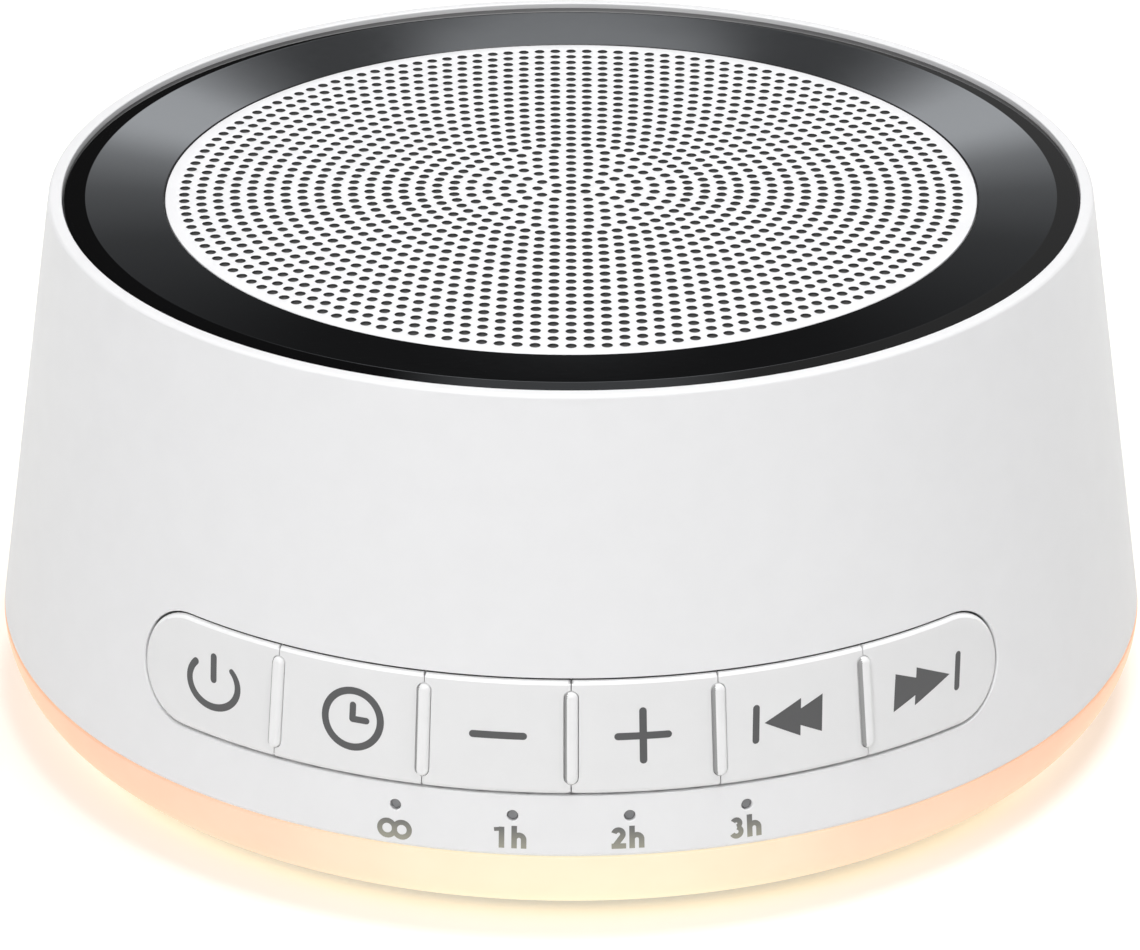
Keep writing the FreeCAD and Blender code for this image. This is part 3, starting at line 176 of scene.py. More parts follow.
def stroke(route: Sequence[Spot], width: float, last_width: float = 0.0, blunt: bool = False,
           late: bool = False) -> Outline:
    """Outline of a pen stroke.

    Args:
        route: Points on the stroke's middle line.
        width: Width at the start.
        last_width: Width at the end, or 0 where it stays the same.
        blunt: Square ends instead of round ones.
        late: The width changes near the end only.

    Returns:
        The outline's points.
    """
    spots = [Vector(spot) for spot in route]
    last = len(spots) - 1
    left, right = [], []
    for index, spot in enumerate(spots):
        along = (spots[min(index + 1, last)] - spots[max(index - 1, 0)]).normalized()
        square = Vector((-along.y, along.x))
        share = (index / last) ** (8 if late else 1)
        half = (width + ((last_width or width) - width) * share) / 2
        left.append(spot + square * half)
        right.append(spot - square * half)
    if not blunt:
        left += half_turn(left[-1], right[-1])
        right = half_turn(right[0], left[0])[::-1] + right
    return [tuple(spot) for spot in left + right[::-1]]


def anticlockwise(line: Outline) -> Outline:
    """The same outline, turned round if it goes clockwise."""
    area = sum(a[0] * b[1] - b[0] * a[1] for a, b in zip(line, line[1:] + line[:1]))
    return line if area > 0 else line[::-1]


def half_turn(start: Vector, finish: Vector, steps: int = 8) -> list[Vector]:
    """Inner points of the half circle that goes clockwise from start to finish.

    Args:
        start: First end.
        finish: Last end.
        steps: Flats in the half circle.

    Returns:
        The points between the ends.
    """
    middle = (start + finish) / 2
    arm = start - middle
    square = Vector((arm.y, -arm.x))
    turns = [math.pi * step / steps for step in range(1, steps)]
    return [middle + arm * math.cos(a) + square * math.sin(a) for a in turns]


# Meshes

class Skin:
    """Points and faces of a piece while it is being made, in millimetres."""

    def __init__(self) -> None:
        """Starts with nothing."""
        self.points: list[Vector] = []
        self.faces: list[tuple[int, ...]] = []

    def loop(self, spots: Iterable[Vector]) -> range:
        """Adds points.

        Args:
            spots: The points.

        Returns:
            Their numbers.
        """
        start = len(self.points)
        self.points.extend(spots)
        return range(start, len(self.points))

    def join(self, first: Sequence[int], second: Sequence[int]) -> None:
        """Adds quads between two closed loops of the same length.

        Args:
            first: Numbers of the first loop's points.
            second: Numbers of the second loop's points.
        """
        count = len(first)
        for index in range(count):
            after = (index + 1) % count
            self.faces.append((first[index], first[after], second[after], second[index]))

    def tube(self, loops: Sequence[Sequence[Vector]], capped: bool = True, fold: int = -1) -> "Skin":
        """Adds a skin through loops of points.

        Args:
            loops: Closed loops of one length, in order.
            capped: Whether the two end loops are filled.
            fold: Number of a loop's point on its mirror line, where it bends too far for one flat cap.

        Returns:
            This skin.
        """
        rings = [self.loop(spots) for spots in loops]
        for first, second in zip(rings, rings[1:]):
            self.join(first, second)
        if capped and fold < 0:
            self.faces.append(tuple(reversed(rings[0])))
            self.faces.append(tuple(rings[-1]))
        elif capped:
            self.fill(rings[0], fold)
            self.fill(rings[-1], fold)
        return self

    def fill(self, ring: Sequence[int], fold: int) -> None:
        """Fills a loop with quads between the points that mirror each other across its fold.

        Args:
            ring: Numbers of the loop's points.
            fold: Place in the loop of a point on its mirror line.
        """
        count = len(ring)
        for step in range(count // 2):
            places = (fold + step, fold + step + 1, fold - step - 1, fold - step)
            corners = dict.fromkeys(ring[place % count] for place in places)
            self.faces.append(tuple(corners))

    def lathe(self, outline: Sequence[Spot], steps: int, middle: Spot = (0.0, 0.0)) -> "Skin":
        """Turns a closed outline of radius and height about an upright axis.

        Args:
            outline: Radius and height of each point.
            steps: Flats round the axis.
            middle: Where the axis stands.

        Returns:
            This skin.
        """
        rings = []
        for step in range(steps):
            turn = math.tau * step / steps
            rings.append(self.loop(polar(radius, turn, height, middle) for radius, height in outline))
        for first, second in zip(rings, rings[1:] + rings[:1]):
            self.join(first, second)
        return self

    def make(self, name: str, crease: float = CREASE) -> bpy.types.Object:
        """Turns the skin into an object with smooth faces and creased edges.

        Args:
            name: Name of the object.
            crease: Edges sharper than this angle stay sharp.

        Returns:
            The new object.
        """
        mesh = bpy.data.meshes.new(name)
        mesh.from_pydata([tuple(point * MM) for point in self.points], [], self.faces)
        shape = bmesh.new()
        shape.from_mesh(mesh)
        bmesh.ops.remove_doubles(shape, verts=shape.verts, dist=MERGE * MM)
        bare = [edge for edge in shape.edges if not edge.link_faces]
        bmesh.ops.delete(shape, geom=bare, context="EDGES")
        bmesh.ops.recalc_face_normals(shape, faces=shape.faces)
        shape.to_mesh(mesh)
        shape.free()
        piece = bpy.data.objects.new(name, mesh)
        bpy.context.scene.collection.objects.link(piece)
        soften(piece, crease)
        return piece


def soften(piece: bpy.types.Object, crease: float = CREASE) -> None:
    """Shades a piece smooth, with its sharp edges kept and its large faces flat.

    Args:
        piece: The piece.
        crease: Edges sharper than this angle, in degrees, stay sharp.
    """
    piece.data.shade_smooth()
    piece.data.set_sharp_from_angle(angle=math.radians(crease))
    weighting = piece.modifiers.new("face weights", "WEIGHTED_NORMAL")
    weighting.keep_sharp = True


def settle(piece: bpy.types.Object) -> None:
    """Applies a piece's modifiers to its mesh.

    Args:
        piece: The piece.
    """
    bpy.context.view_layer.update()
    graph = bpy.context.evaluated_depsgraph_get()
    mesh = bpy.data.meshes.new_from_object(piece.evaluated_get(graph))
    used = piece.data
    piece.modifiers.clear()
    piece.data = mesh
    bpy.data.meshes.remove(used)
    mesh.name = piece.name


def carve(piece: bpy.types.Object, tool: bpy.types.Object, way: Carving) -> None:
    """Cuts, joins or trims a piece with a tool, which is used up.

    Args:
        piece: The piece that changes.
        tool: The object that it is carved with.
        way: What happens to the piece.
    """
    piece.modifiers.clear()
    modifier = piece.modifiers.new("carving", "BOOLEAN")
    modifier.operation = way.value
    modifier.solver = "EXACT"
    modifier.object = tool
    settle(piece)
    mesh = tool.data
    bpy.data.objects.remove(tool)
    bpy.data.meshes.remove(mesh)
    soften(piece)


def finish_piece(piece: bpy.types.Object, body: str, look: bpy.types.Material,
                 nodes: Sequence[str] = ()) -> bpy.types.Object:
    """Paints a piece and tells the frame where it belongs.

    Args:
        piece: The piece.
        body: The body that it moves with.
        look: Its material.
        nodes: The nodes that it stands for.

    Returns:
        The piece.
    """
    piece.data.materials.clear()
    piece.data.materials.append(look)
    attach(piece, body)
    if nodes:
        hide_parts(*nodes)
    LOG.info("%s: %d faces", piece.name, len(piece.data.polygons))
    return piece


def second_look(piece: bpy.types.Object, look: bpy.types.Material,
                chosen: Callable[[Vector, Vector], bool]) -> None:
    """Gives some of a piece's faces another material.

    Args:
        piece: The piece, which has its first material.
        look: The other material.
        chosen: Tells from a face's middle, in millimetres, and its normal whether it takes the material.
    """
    piece.data.materials.append(look)
    for polygon in piece.data.polygons:
        if chosen(polygon.center / MM, polygon.normal):
            polygon.material_index = len(piece.data.materials) - 1


# The tapered wall

@dataclass(frozen=True)
class Wall:
    """The housing's tapered outside, on which the keys, holes and labels lie."""

    seam_radius: float = 55.0
    seam_height: float = 8.18
    lean: float = 0.1449
    near: float = 0.02
    same_way: float = 0.9995

    @property
    def tilt(self) -> float:
        """Angle of the wall from upright, in radians."""
        return math.atan(self.lean)

    def radius(self, height: float) -> float:
        """Outer radius at a height."""
        return self.seam_radius - self.lean * (height - self.seam_height)

    def place(self, angle: float, height: float, across: float = 0.0, up: float = 0.0,
              proud: float = 0.0) -> Vector:
        """A point near a place on the wall.

        Args:
            angle: Angle of the place.
            height: Height of the place.
            across: Way along the wall, to the right as seen from outside.
            up: Way up the wall.
            proud: Way out of the wall.

        Returns:
            The point.
        """
        level = height + up * math.cos(self.tilt)
        radius = self.radius(level)
        turn = math.radians(angle) + across / radius
        radius += proud * math.cos(self.tilt)
        top = level + proud * math.sin(self.tilt)
        return Vector((radius * math.sin(turn), -radius * math.cos(turn), top))

    def normal(self, point: Vector) -> Vector:
        """Direction straight out of the wall.

        Args:
            point: A point on or near the wall.

        Returns:
            The direction, of length 1.
        """
        out = Vector((point.x, point.y, 0.0)).normalized() * math.cos(self.tilt)
        out.z = math.sin(self.tilt)
        return out

    def proud(self, point: Vector) -> float:
        """How far a point stands out of the wall."""
        return (math.hypot(point.x, point.y) - self.radius(point.z)) * math.cos(self.tilt)

    def stud(self, angle: float, height: float, outline: Sequence[Spot],
             steps: int = 40) -> list[list[Vector]]:
        """Loops of a round bar square to the wall.

        Args:
            angle: Angle of the bar.
            height: Height of the bar.
            outline: Radius and proud of each loop, from inside to outside.
            steps: Flats round the bar.

        Returns:
            The loops.
        """
        loops = []
        for radius, proud in outline:
            rim = circle((0.0, 0.0), radius, steps)
            loops.append([self.place(angle, height, across, up, proud) for across, up in rim])
        return loops

    def smooth(self, piece: bpy.types.Object, proud: float) -> None:
        """Gives the faces that lie on the wall, or evenly over it, the wall's exact normals.

        Args:
            piece: The piece, whose modifiers are applied first.
            proud: How far the faces stand out of the wall.
        """
        settle(piece)
        mesh = piece.data
        normals = [Vector(item.vector) for item in mesh.corner_normals]
        for polygon in mesh.polygons:
            centre = polygon.center / MM
            level = abs(self.proud(centre) - proud) <= self.near
            if not level or polygon.normal.dot(self.normal(centre)) < self.same_way:
                continue
            for corner in polygon.loop_indices:
                point = mesh.vertices[mesh.loops[corner].vertex_index].co
                normals[corner] = self.normal(point)
        mesh.normals_split_custom_set(normals)


@dataclass(frozen=True)
class KeyStrip:
    """Where the key strip, its keys and its ribs lie on the wall."""

    wall: Wall = Wall()
    height: float = 19.33
    rise: float = 10.75
    end_angle: float = 40.1
    rib_angles: tuple[float, ...] = (-29.05, -14.0, 0.0, 14.0, 29.05)
    rib_width: float = 1.2
    rib_length: float = 8.55
    straight_steps: int = 180
    round_steps: int = 28

    @property
    def half(self) -> float:
        """Half the strip's height, measured up the wall."""
        return self.rise / 2 / math.cos(self.wall.tilt)

    def outline(self, shrink: float, proud: float) -> list[Vector]:
        """The strip's round-ended outline.

        Args:
            shrink: How far it is pulled in all round.
            proud: How far it stands out of the wall.

        Returns:
            A closed loop of points.
        """
        radius = self.half - shrink
        loop = []
        for side in (1, -1):
            for step in range(self.round_steps + 1):
                turn = math.pi * (step / self.round_steps - 0.5)
                across = side * radius * math.cos(turn)
                up = side * radius * math.sin(turn)
                loop.append(self.wall.place(side * self.end_angle, self.height, across, up, proud))
            for step in range(1, self.straight_steps):
                angle = side * self.end_angle * (1 - 2 * step / self.straight_steps)
                loop.append(self.wall.place(angle, self.height, 0.0, side * radius, proud))
        return loop

    def bar(self, angle: float, shrink: float, proud: float, steps: int = 12) -> list[Vector]:
        """A rib's round-ended outline.

        Args:
            angle: Angle of the rib.
            shrink: How far it is pulled in all round.
            proud: How far it stands out of the wall.
            steps: Flats in each round end.

        Returns:
            A closed loop of points.
        """
        radius = self.rib_width / 2 - shrink
        reach = (self.rib_length - self.rib_width) / 2
        loop = []
        for side in (1, -1):
            for step in range(steps + 1):
                turn = math.pi * step / steps
                across = side * radius * math.cos(turn)
                up = side * (reach + radius * math.sin(turn))
                loop.append(self.wall.place(angle, self.height, across, up, proud))
        return loop

    def wedge(self, start: float, finish: float, near: float = 40.0, far: float = 64.0) -> Skin:
        """A block that takes up everything between two angles of the strip.

        Args:
            start: Angle where it starts.
            finish: Angle where it ends.
            near: Its inner radius.
            far: Its outer radius.

        Returns:
            The block's skin.
        """
        low, high = self.height - self.rise, self.height + self.rise
        steps = math.ceil((finish - start) / 4)
        loops = []
        for step in range(steps + 1):
            turn = math.radians(start + (finish - start) * step / steps)
            corners = [(near, low), (far, low), (far, high), (near, high)]
            loops.append([Vector((r * math.sin(turn), -r * math.cos(turn), z)) for r, z in corners])
        return Skin().tube(loops)


@dataclass
class Figure:
    """A flat figure for the wall. Each part is an outline and the holes in it."""

    parts: list[list[Outline]]
    lean: float = 0.0
    slice_width: float = 0.35

    def triangles(self) -> tuple[list[Vector], list[tuple[int, ...]]]:
        """Fills the parts with triangles that are narrow enough to bend round the wall.

        Returns:
            The points, and the numbers of each triangle's points.
        """
        spots: list[Spot] = []
        outlines = []
        for part in self.parts:
            for line in part:
                outlines.append(list(range(len(spots), len(spots) + len(line))))
                spots += anticlockwise(line)
        left, right = min(x for x, _ in spots), max(x for x, _ in spots)
        low, high = min(y for _, y in spots), max(y for _, y in spots)
        slices = math.ceil((right - left) / self.slice_width)
        lines = []
        for number in range(1, slices):
            across = left + (right - left) * number / slices
            lines.append((len(spots), len(spots) + 1))
            spots += [(across, low), (across, high)]
        flat = delaunay_2d_cdt([Vector(spot) for spot in spots], lines, outlines, 0, 1e-6)
        kept = [face for face, sources in zip(flat[2], flat[5]) if self.holds(sources)]
        return flat[0], kept

    def holds(self, sources: Sequence[int]) -> bool:
        """Whether a triangle belongs to the figure.

        Args:
            sources: Numbers of the outlines that the triangle lies in.

        Returns:
            True inside a part and outside the holes in it.
        """
        first = 0
        for part in self.parts:
            holes = range(first + 1, first + len(part))
            if first in sources and not any(hole in sources for hole in holes):
                return True
            first += len(part)
        return False

    def on_wall(self, name: str, wall: Wall, angle: float, height: float, low: float,
                high: float) -> bpy.types.Object:
        """Bends the figure round the wall as a thin plate.

        Args:
            name: Name of the object.
            wall: The wall.
            angle: Angle of the figure's middle.
            height: Height of the figure's middle.
            low: Proud of the plate's back.
            high: Proud of the plate's face.

        Returns:
            The new object.
        """
        spots, faces = self.triangles()
        skin = Skin()
        leaning = [(spot.x + self.lean * spot.y, spot.y) for spot in spots]
        back = skin.loop(wall.place(angle, height, x, y, low) for x, y in leaning)
        face = skin.loop(wall.place(angle, height, x, y, high) for x, y in leaning)
        sides = {}
        for corners in faces:
            skin.faces.append(tuple(face[corner] for corner in corners))
            skin.faces.append(tuple(back[corner] for corner in reversed(corners)))
            for start, end in zip(corners, corners[1:] + corners[:1]):
                sides[(start, end)] = True
        for start, end in sides:
            if (end, start) not in sides:
                skin.faces.append((face[start], back[start], back[end], face[end]))
        used = sorted({corner for corners in skin.faces for corner in corners})
        numbers = {old: new for new, old in enumerate(used)}
        skin.points = [skin.points[old] for old in used]
        skin.faces = [tuple(numbers[corner] for corner in corners) for corners in skin.faces]
        return skin.make(name)


# Materials

class Nodes:
    """A node tree while it is being put together."""

    def __init__(self, tree: bpy.types.NodeTree) -> None:
        """Takes the tree."""
        self.tree = tree

    def add(self, kind: str, **settings: object) -> bpy.types.Node:
        """Adds a node.

        Args:
            kind: Blender's name for the kind of node.
            settings: The properties that are set on it.

        Returns:
            The node.
        """
        node = self.tree.nodes.new(kind)
        for name, value in settings.items():
            setattr(node, name, value)
        return node

    def link(self, source: bpy.types.NodeSocket, target: bpy.types.NodeSocket) -> None:
        """Links an output to an input."""
        self.tree.links.new(source, target)

    def feed(self, value: object, target: bpy.types.NodeSocket) -> None:
        """Gives an input its value.

        Args:
            value: An output, or plain numbers.
            target: The input.
        """
        if isinstance(value, bpy.types.NodeSocket):
            self.link(value, target)
        else:
            target.default_value = value

    def math(self, way: str, first: bpy.types.NodeSocket,
             second: bpy.types.NodeSocket | float) -> bpy.types.NodeSocket:
        """Works a number out from two others.

        Args:
            way: Blender's name for the sum.
            first: The first number.
            second: The second, an output or a plain number.

        Returns:
            The result.
        """
        node = self.add("ShaderNodeMath", operation=way)
        self.link(first, node.inputs[0])
        self.feed(second, node.inputs[1])
        return node.outputs[0]

    def span(self, source: bpy.types.NodeSocket, low: float, high: float, first: float = 0.0,
             last: float = 1.0) -> bpy.types.NodeSocket:
        """Stretches a number's range to another, and holds it at the ends.

        Args:
            source: The number.
            low: Where its range starts.
            high: Where it ends.
            first: The result at the start.
            last: The result at the end.

        Returns:
            The result.
        """
        node = self.add("ShaderNodeMapRange")
        self.link(source, node.inputs["Value"])
        for name, number in zip(("From Min", "From Max", "To Min", "To Max"), (low, high, first, last)):
            node.inputs[name].default_value = number
        return node.outputs["Result"]

    def ramp(self, source: bpy.types.NodeSocket,
             stops: Sequence[tuple[float, Colour]]) -> bpy.types.NodeSocket:
        """Turns a number into a colour.

        Args:
            source: The number.
            stops: Place and colour of each stop.

        Returns:
            The colour.
        """
        node = self.add("ShaderNodeValToRGB")
        places = node.color_ramp.elements
        while len(places) < len(stops):
            places.new(0.5)
        for element, (place, colour) in zip(places, stops):
            element.position = place
            element.color = (*colour, 1.0)
        self.link(source, node.inputs["Fac"])
        return node.outputs["Color"]

    def mixed(self, share: bpy.types.NodeSocket, first: object, second: object) -> bpy.types.NodeSocket:
        """Mixes two colours, each an output or plain numbers.

        Args:
            share: How much of the second there is, from 0 to 1.
            first: The first colour.
            second: The second colour.

        Returns:
            The mixed colour.
        """
        node = self.add("ShaderNodeMix", data_type="RGBA")
        self.link(share, node.inputs["Factor"])
        sockets = [socket for socket in node.inputs if socket.type == "RGBA"]
        for socket, value in zip(sockets, (first, second)):
            self.feed(value, socket)
        return next(socket for socket in node.outputs if socket.type == "RGBA")


class Recipe(Nodes):
    """A material while its nodes are being put together."""

    def __init__(self, name: str) -> None:
        """Starts a material with a plain surface shader.

        Args:
            name: The material's name.
        """
        self.material = bpy.data.materials.new(name)
        self.material.use_nodes = True
        super().__init__(self.material.node_tree)
        self.shader = self.tree.nodes["Principled BSDF"]
        self.object_place = self.add("ShaderNodeTexCoord").outputs["Object"]

    def value(self, **numbers: float) -> None:
        """Sets plain numbers on the shader's own sockets, with _ for each space in a socket's name."""
        for name, number in numbers.items():
            self.shader.inputs[name.replace("_", " ").title().replace("Ior", "IOR")].default_value = number

    def stretched(self, stretch: Colour) -> bpy.types.NodeSocket:
        """The object's own places, multiplied along its axes.

        Args:
            stretch: What X, Y and Z are multiplied by.

        Returns:
            The places.
        """
        mapping = self.add("ShaderNodeMapping")
        mapping.inputs["Scale"].default_value = stretch
        self.link(self.object_place, mapping.inputs["Vector"])
        return mapping.outputs["Vector"]

    def noise(self, size: float, detail: float = 2.0,
              stretch: Colour = (1.0, 1.0, 1.0)) -> bpy.types.NodeSocket:
        """Smooth noise.

        Args:
            size: About how many millimetres a blotch measures.
            detail: How many finer layers there are.
            stretch: What X, Y and Z are multiplied by, so that blotches get narrower.

        Returns:
            The noise, from 0 to 1.
        """
        node = self.add("ShaderNodeTexNoise")
        node.inputs["Scale"].default_value = 1.0 / (size * MM)
        node.inputs["Detail"].default_value = detail
        self.link(self.stretched(stretch), node.inputs["Vector"])
        return node.outputs["Fac"]

    def cells(self, size: float) -> bpy.types.NodeSocket:
        """Distance to the nearest of many scattered points.

        Args:
            size: Millimetres between the points.

        Returns:
            The distance.
        """
        node = self.add("ShaderNodeTexVoronoi")
        node.inputs["Scale"].default_value = 1.0 / (size * MM)
        self.link(self.object_place, node.inputs["Vector"])
        return node.outputs["Distance"]

    def waves(self, size: float, direction: str, rings: bool = False) -> bpy.types.NodeSocket:
        """Even ripples.

        Args:
            size: Millimetres from one ripple to the next.
            direction: The axis that they follow.
            rings: Rings round the axis instead of straight bands.

        Returns:
            The ripples, from 0 to 1.
        """
        node = self.add("ShaderNodeTexWave", wave_profile="SIN")
        if rings:
            node.wave_type = "RINGS"
            node.rings_direction = direction
        else:
            node.bands_direction = direction
        node.inputs["Scale"].default_value = math.tau / (WAVE_RATE * size * MM)
        self.link(self.object_place, node.inputs["Vector"])
        return node.outputs["Fac"]

    def axis(self, name: str) -> bpy.types.NodeSocket:
        """One of the object's own three coordinates.

        Args:
            name: X, Y or Z.

        Returns:
            The coordinate, in metres.
        """
        node = self.add("ShaderNodeSeparateXYZ")
        self.link(self.object_place, node.inputs[0])
        return node.outputs[name]

    def paint(self, source: bpy.types.NodeSocket, first: Colour, last: Colour, low: float = 0.3,
              high: float = 0.7) -> None:
        """Colours the surface between two colours by a number."""
        self.link(self.ramp(source, [(low, first), (high, last)]), self.shader.inputs["Base Color"])

    def rough(self, source: bpy.types.NodeSocket, low: float, high: float) -> None:
        """Lets a number move the roughness between two values."""
        self.link(self.span(source, 0.3, 0.7, low, high), self.shader.inputs["Roughness"])

    def bump(self, source: bpy.types.NodeSocket, depth: float) -> None:
        """Raises the surface by a number, over any bump that it has.

        Args:
            source: The number.
            depth: Height in millimetres where the number is 1.
        """
        node = self.add("ShaderNodeBump")
        node.inputs["Distance"].default_value = depth * MM
        self.link(source, node.inputs["Height"])
        normal = self.shader.inputs["Normal"]
        if normal.is_linked:
            self.link(normal.links[0].from_socket, node.inputs["Normal"])
        self.link(node.outputs["Normal"], normal)


def shade(colour: Colour, share: float) -> Colour:
    """A colour made lighter or darker."""
    return tuple(min(channel * share, 1.0) for channel in colour)


@dataclass(frozen=True)
class Finish:
    """What every finish has: a name, and a way to make its material."""

    name: str

    def build(self) -> bpy.types.Material:
        """Makes the material.

        Returns:
            The material.
        """
        recipe = Recipe(self.name)
        self.mix(recipe)
        return recipe.material

    def mix(self, recipe: Recipe) -> None:
        """Puts the finish's nodes together in a new material."""
        raise NotImplementedError


@dataclass(frozen=True)
class Moulded(Finish):
    """Injection-moulded plastic with a fine spark-eroded grain."""

    colour: Colour
    roughness: float = 0.42
    grain: float = 0.16
    depth: float = 0.0012
    mottle: float = 0.008

    def mix(self, recipe: Recipe) -> None:
        """Puts the finish's nodes together.

        Args:
            recipe: The new material.
        """
        darker, lighter = shade(self.colour, 1 - self.mottle), shade(self.colour, 1 + self.mottle)
        recipe.paint(recipe.noise(3.0, 3.0), darker, lighter)
        recipe.rough(recipe.noise(2.5, 3.0), self.roughness - 0.03, self.roughness + 0.03)
        recipe.bump(recipe.noise(self.grain, 2.0), self.depth)
        recipe.value(ior=1.47)


@dataclass(frozen=True)
class Gloss(Finish):
    """Polished plastic with faint wiping marks and a little dust."""

    colour: Colour
    roughness: float = 0.035

    def mix(self, recipe: Recipe) -> None:
        """Puts the finish's nodes together.

        Args:
            recipe: The new material.
        """
        recipe.paint(recipe.cells(0.9), shade(self.colour, 1.6), self.colour, 0.02, 0.035)
        marks = recipe.noise(1.2, 4.0, (1.0, 12.0, 1.0))
        recipe.rough(marks, self.roughness, self.roughness * 1.8)
        recipe.bump(recipe.noise(11.0, 1.0), 0.004)
        recipe.value(ior=1.5)


@dataclass(frozen=True)
class Painted(Finish):
    """Sprayed enamel with a slight orange peel."""

    colour: Colour
    roughness: float = 0.36

    def mix(self, recipe: Recipe) -> None:
        """Puts the finish's nodes together.

        Args:
            recipe: The new material.
        """
        recipe.paint(recipe.noise(6.0, 2.0), shade(self.colour, 0.98), shade(self.colour, 1.02))
        recipe.rough(recipe.noise(1.5, 2.0), self.roughness - 0.04, self.roughness + 0.04)
        recipe.bump(recipe.noise(0.5, 1.0), 0.002)


@dataclass(frozen=True)
class Woven(Finish):
    """Fine plain-weave cloth."""

    colour: Colour
    thread: float = 0.22
    depth: float = 0.05

    def mix(self, recipe: Recipe) -> None:
        """Puts the finish's nodes together.

        Args:
            recipe: The new material.
        """
        over = recipe.waves(self.thread, "X")
        under = recipe.waves(self.thread, "Y")
        weave = recipe.math("MULTIPLY", over, under)
        # The dips between the threads are painted darker as painted shade.
        recipe.paint(weave, shade(self.colour, 0.45), self.colour, 0.05, 0.6)
        recipe.bump(weave, self.depth)
        recipe.bump(recipe.noise(0.08, 2.0), self.depth * 0.2)
        recipe.value(roughness=0.9, sheen_weight=0.25, sheen_roughness=0.5)


@dataclass(frozen=True)
class Foam(Finish):
    """Open-celled foam."""

    colour: Colour
    cell: float = 0.45

    def mix(self, recipe: Recipe) -> None:
        """Puts the finish's nodes together.

        Args:
            recipe: The new material.
        """
        pores = recipe.cells(self.cell)
        # The pits of the pores are painted darker as painted shade.
        recipe.paint(pores, shade(self.colour, 0.4), self.colour, 0.15, 0.5)
        recipe.bump(pores, 0.15)
        recipe.value(roughness=0.95)


@dataclass(frozen=True)
class Metal(Finish):
    """Plated or pressed metal with fine marks along one axis."""

    colour: Colour
    roughness: float = 0.3
    stretch: Colour = (1.0, 1.0, 14.0)

    def mix(self, recipe: Recipe) -> None:
        """Puts the finish's nodes together.

        Args:
            recipe: The new material.
        """
        marks = recipe.noise(0.7, 4.0, self.stretch)
        recipe.paint(marks, shade(self.colour, 0.86), self.colour)
        recipe.rough(marks, self.roughness * 0.75, self.roughness * 1.25)
        recipe.bump(marks, 0.002)
        recipe.value(metallic=1.0)


@dataclass(frozen=True)
class Rubber(Finish):
    """Matt rubber with bloom and fine specks."""

    colour: Colour
    roughness: float = 0.75

    def mix(self, recipe: Recipe) -> None:
        """Puts the finish's nodes together.

        Args:
            recipe: The new material.
        """
        recipe.paint(recipe.noise(1.8, 5.0), self.colour, shade(self.colour, 1.7))
        recipe.rough(recipe.noise(0.9, 3.0), self.roughness - 0.08, self.roughness + 0.08)
        recipe.bump(recipe.noise(0.12, 2.0), 0.008)


@dataclass(frozen=True)
class Fibre(Finish):
    """Pressed paper or resin-bound cloth, with its fibres."""

    colour: Colour
    fibre: float = 0.35
    ripple: float = 0.0

    def mix(self, recipe: Recipe) -> None:
        """Puts the finish's nodes together.

        Args:
            recipe: The new material.
        """
        fibres = recipe.noise(self.fibre, 6.0, (1.0, 3.0, 1.0))
        recipe.paint(fibres, shade(self.colour, 0.7), shade(self.colour, 1.15))
        recipe.bump(fibres, 0.03)
        if self.ripple:
            recipe.bump(recipe.waves(self.ripple, "Z", True), 0.35)
        recipe.value(roughness=0.85)


@dataclass(frozen=True)
class Winding(Finish):
    """Close turns of lacquered copper wire."""

    wire: float = 0.18

    def mix(self, recipe: Recipe) -> None:
        """Puts the finish's nodes together.

        Args:
            recipe: The new material.
        """
        turns = recipe.waves(self.wire, "Z")
        # The grooves between the turns are painted dark brown as painted shade.
        recipe.paint(turns, (0.18, 0.05, 0.02), (0.72, 0.29, 0.12), 0.1, 0.7)
        recipe.bump(turns, self.wire * 0.4)
        recipe.value(metallic=0.9, roughness=0.28, coat_weight=0.6, coat_roughness=0.1)


@dataclass(frozen=True)
class Ceramic(Finish):
    """Sintered ferrite with a dull speckled face."""

    colour: Colour = (0.035, 0.035, 0.04)

    def mix(self, recipe: Recipe) -> None:
        """Puts the finish's nodes together.

        Args:
            recipe: The new material.
        """
        recipe.paint(recipe.noise(0.4, 8.0), self.colour, shade(self.colour, 2.2), 0.4, 0.75)
        recipe.rough(recipe.noise(0.8, 4.0), 0.42, 0.62)
        recipe.bump(recipe.noise(0.25, 6.0), 0.02)


@dataclass(frozen=True)
class CircuitBoard(Finish):
    """Lacquered board with tracks under the lacquer."""

    lacquer: Colour
    track: Colour
    pitch: float = 2.2

    def mix(self, recipe: Recipe) -> None:
        """Puts the finish's nodes together.

        Args:
            recipe: The new material.
        """
        tracks = recipe.add("ShaderNodeTexBrick")
        tracks.inputs["Scale"].default_value = 1.0 / (self.pitch * MM * 2)
        tracks.inputs["Color1"].default_value = (*self.lacquer, 1.0)
        tracks.inputs["Color2"].default_value = (*shade(self.lacquer, 0.8), 1.0)
        tracks.inputs["Mortar"].default_value = (*self.track, 1.0)
        tracks.inputs["Mortar Size"].default_value = 0.03
        recipe.link(recipe.object_place, tracks.inputs["Vector"])
        recipe.link(tracks.outputs["Color"], recipe.shader.inputs["Base Color"])
        recipe.bump(tracks.outputs["Fac"], 0.03)
        recipe.rough(recipe.noise(1.0, 3.0), 0.28, 0.4)
        recipe.value(coat_weight=0.4, coat_roughness=0.2)


@dataclass(frozen=True)
class Sleeve(Finish):
    """A capacitor's printed sleeve with its bare metal top."""

    colour: Colour
    top: float

    def mix(self, recipe: Recipe) -> None:
        """Puts the finish's nodes together.

        Args:
            recipe: The new material.
        """
        metal = recipe.span(recipe.axis("Z"), (self.top - 0.05) * MM, self.top * MM, 0.0, 1.0)
        recipe.link(recipe.ramp(metal, [(0.0, self.colour), (1.0, (0.72, 0.73, 0.75))]),
                    recipe.shader.inputs["Base Color"])
        recipe.link(metal, recipe.shader.inputs["Metallic"])
        recipe.rough(recipe.noise(0.6, 3.0), 0.25, 0.4)
        recipe.bump(recipe.noise(0.3, 2.0), 0.004)


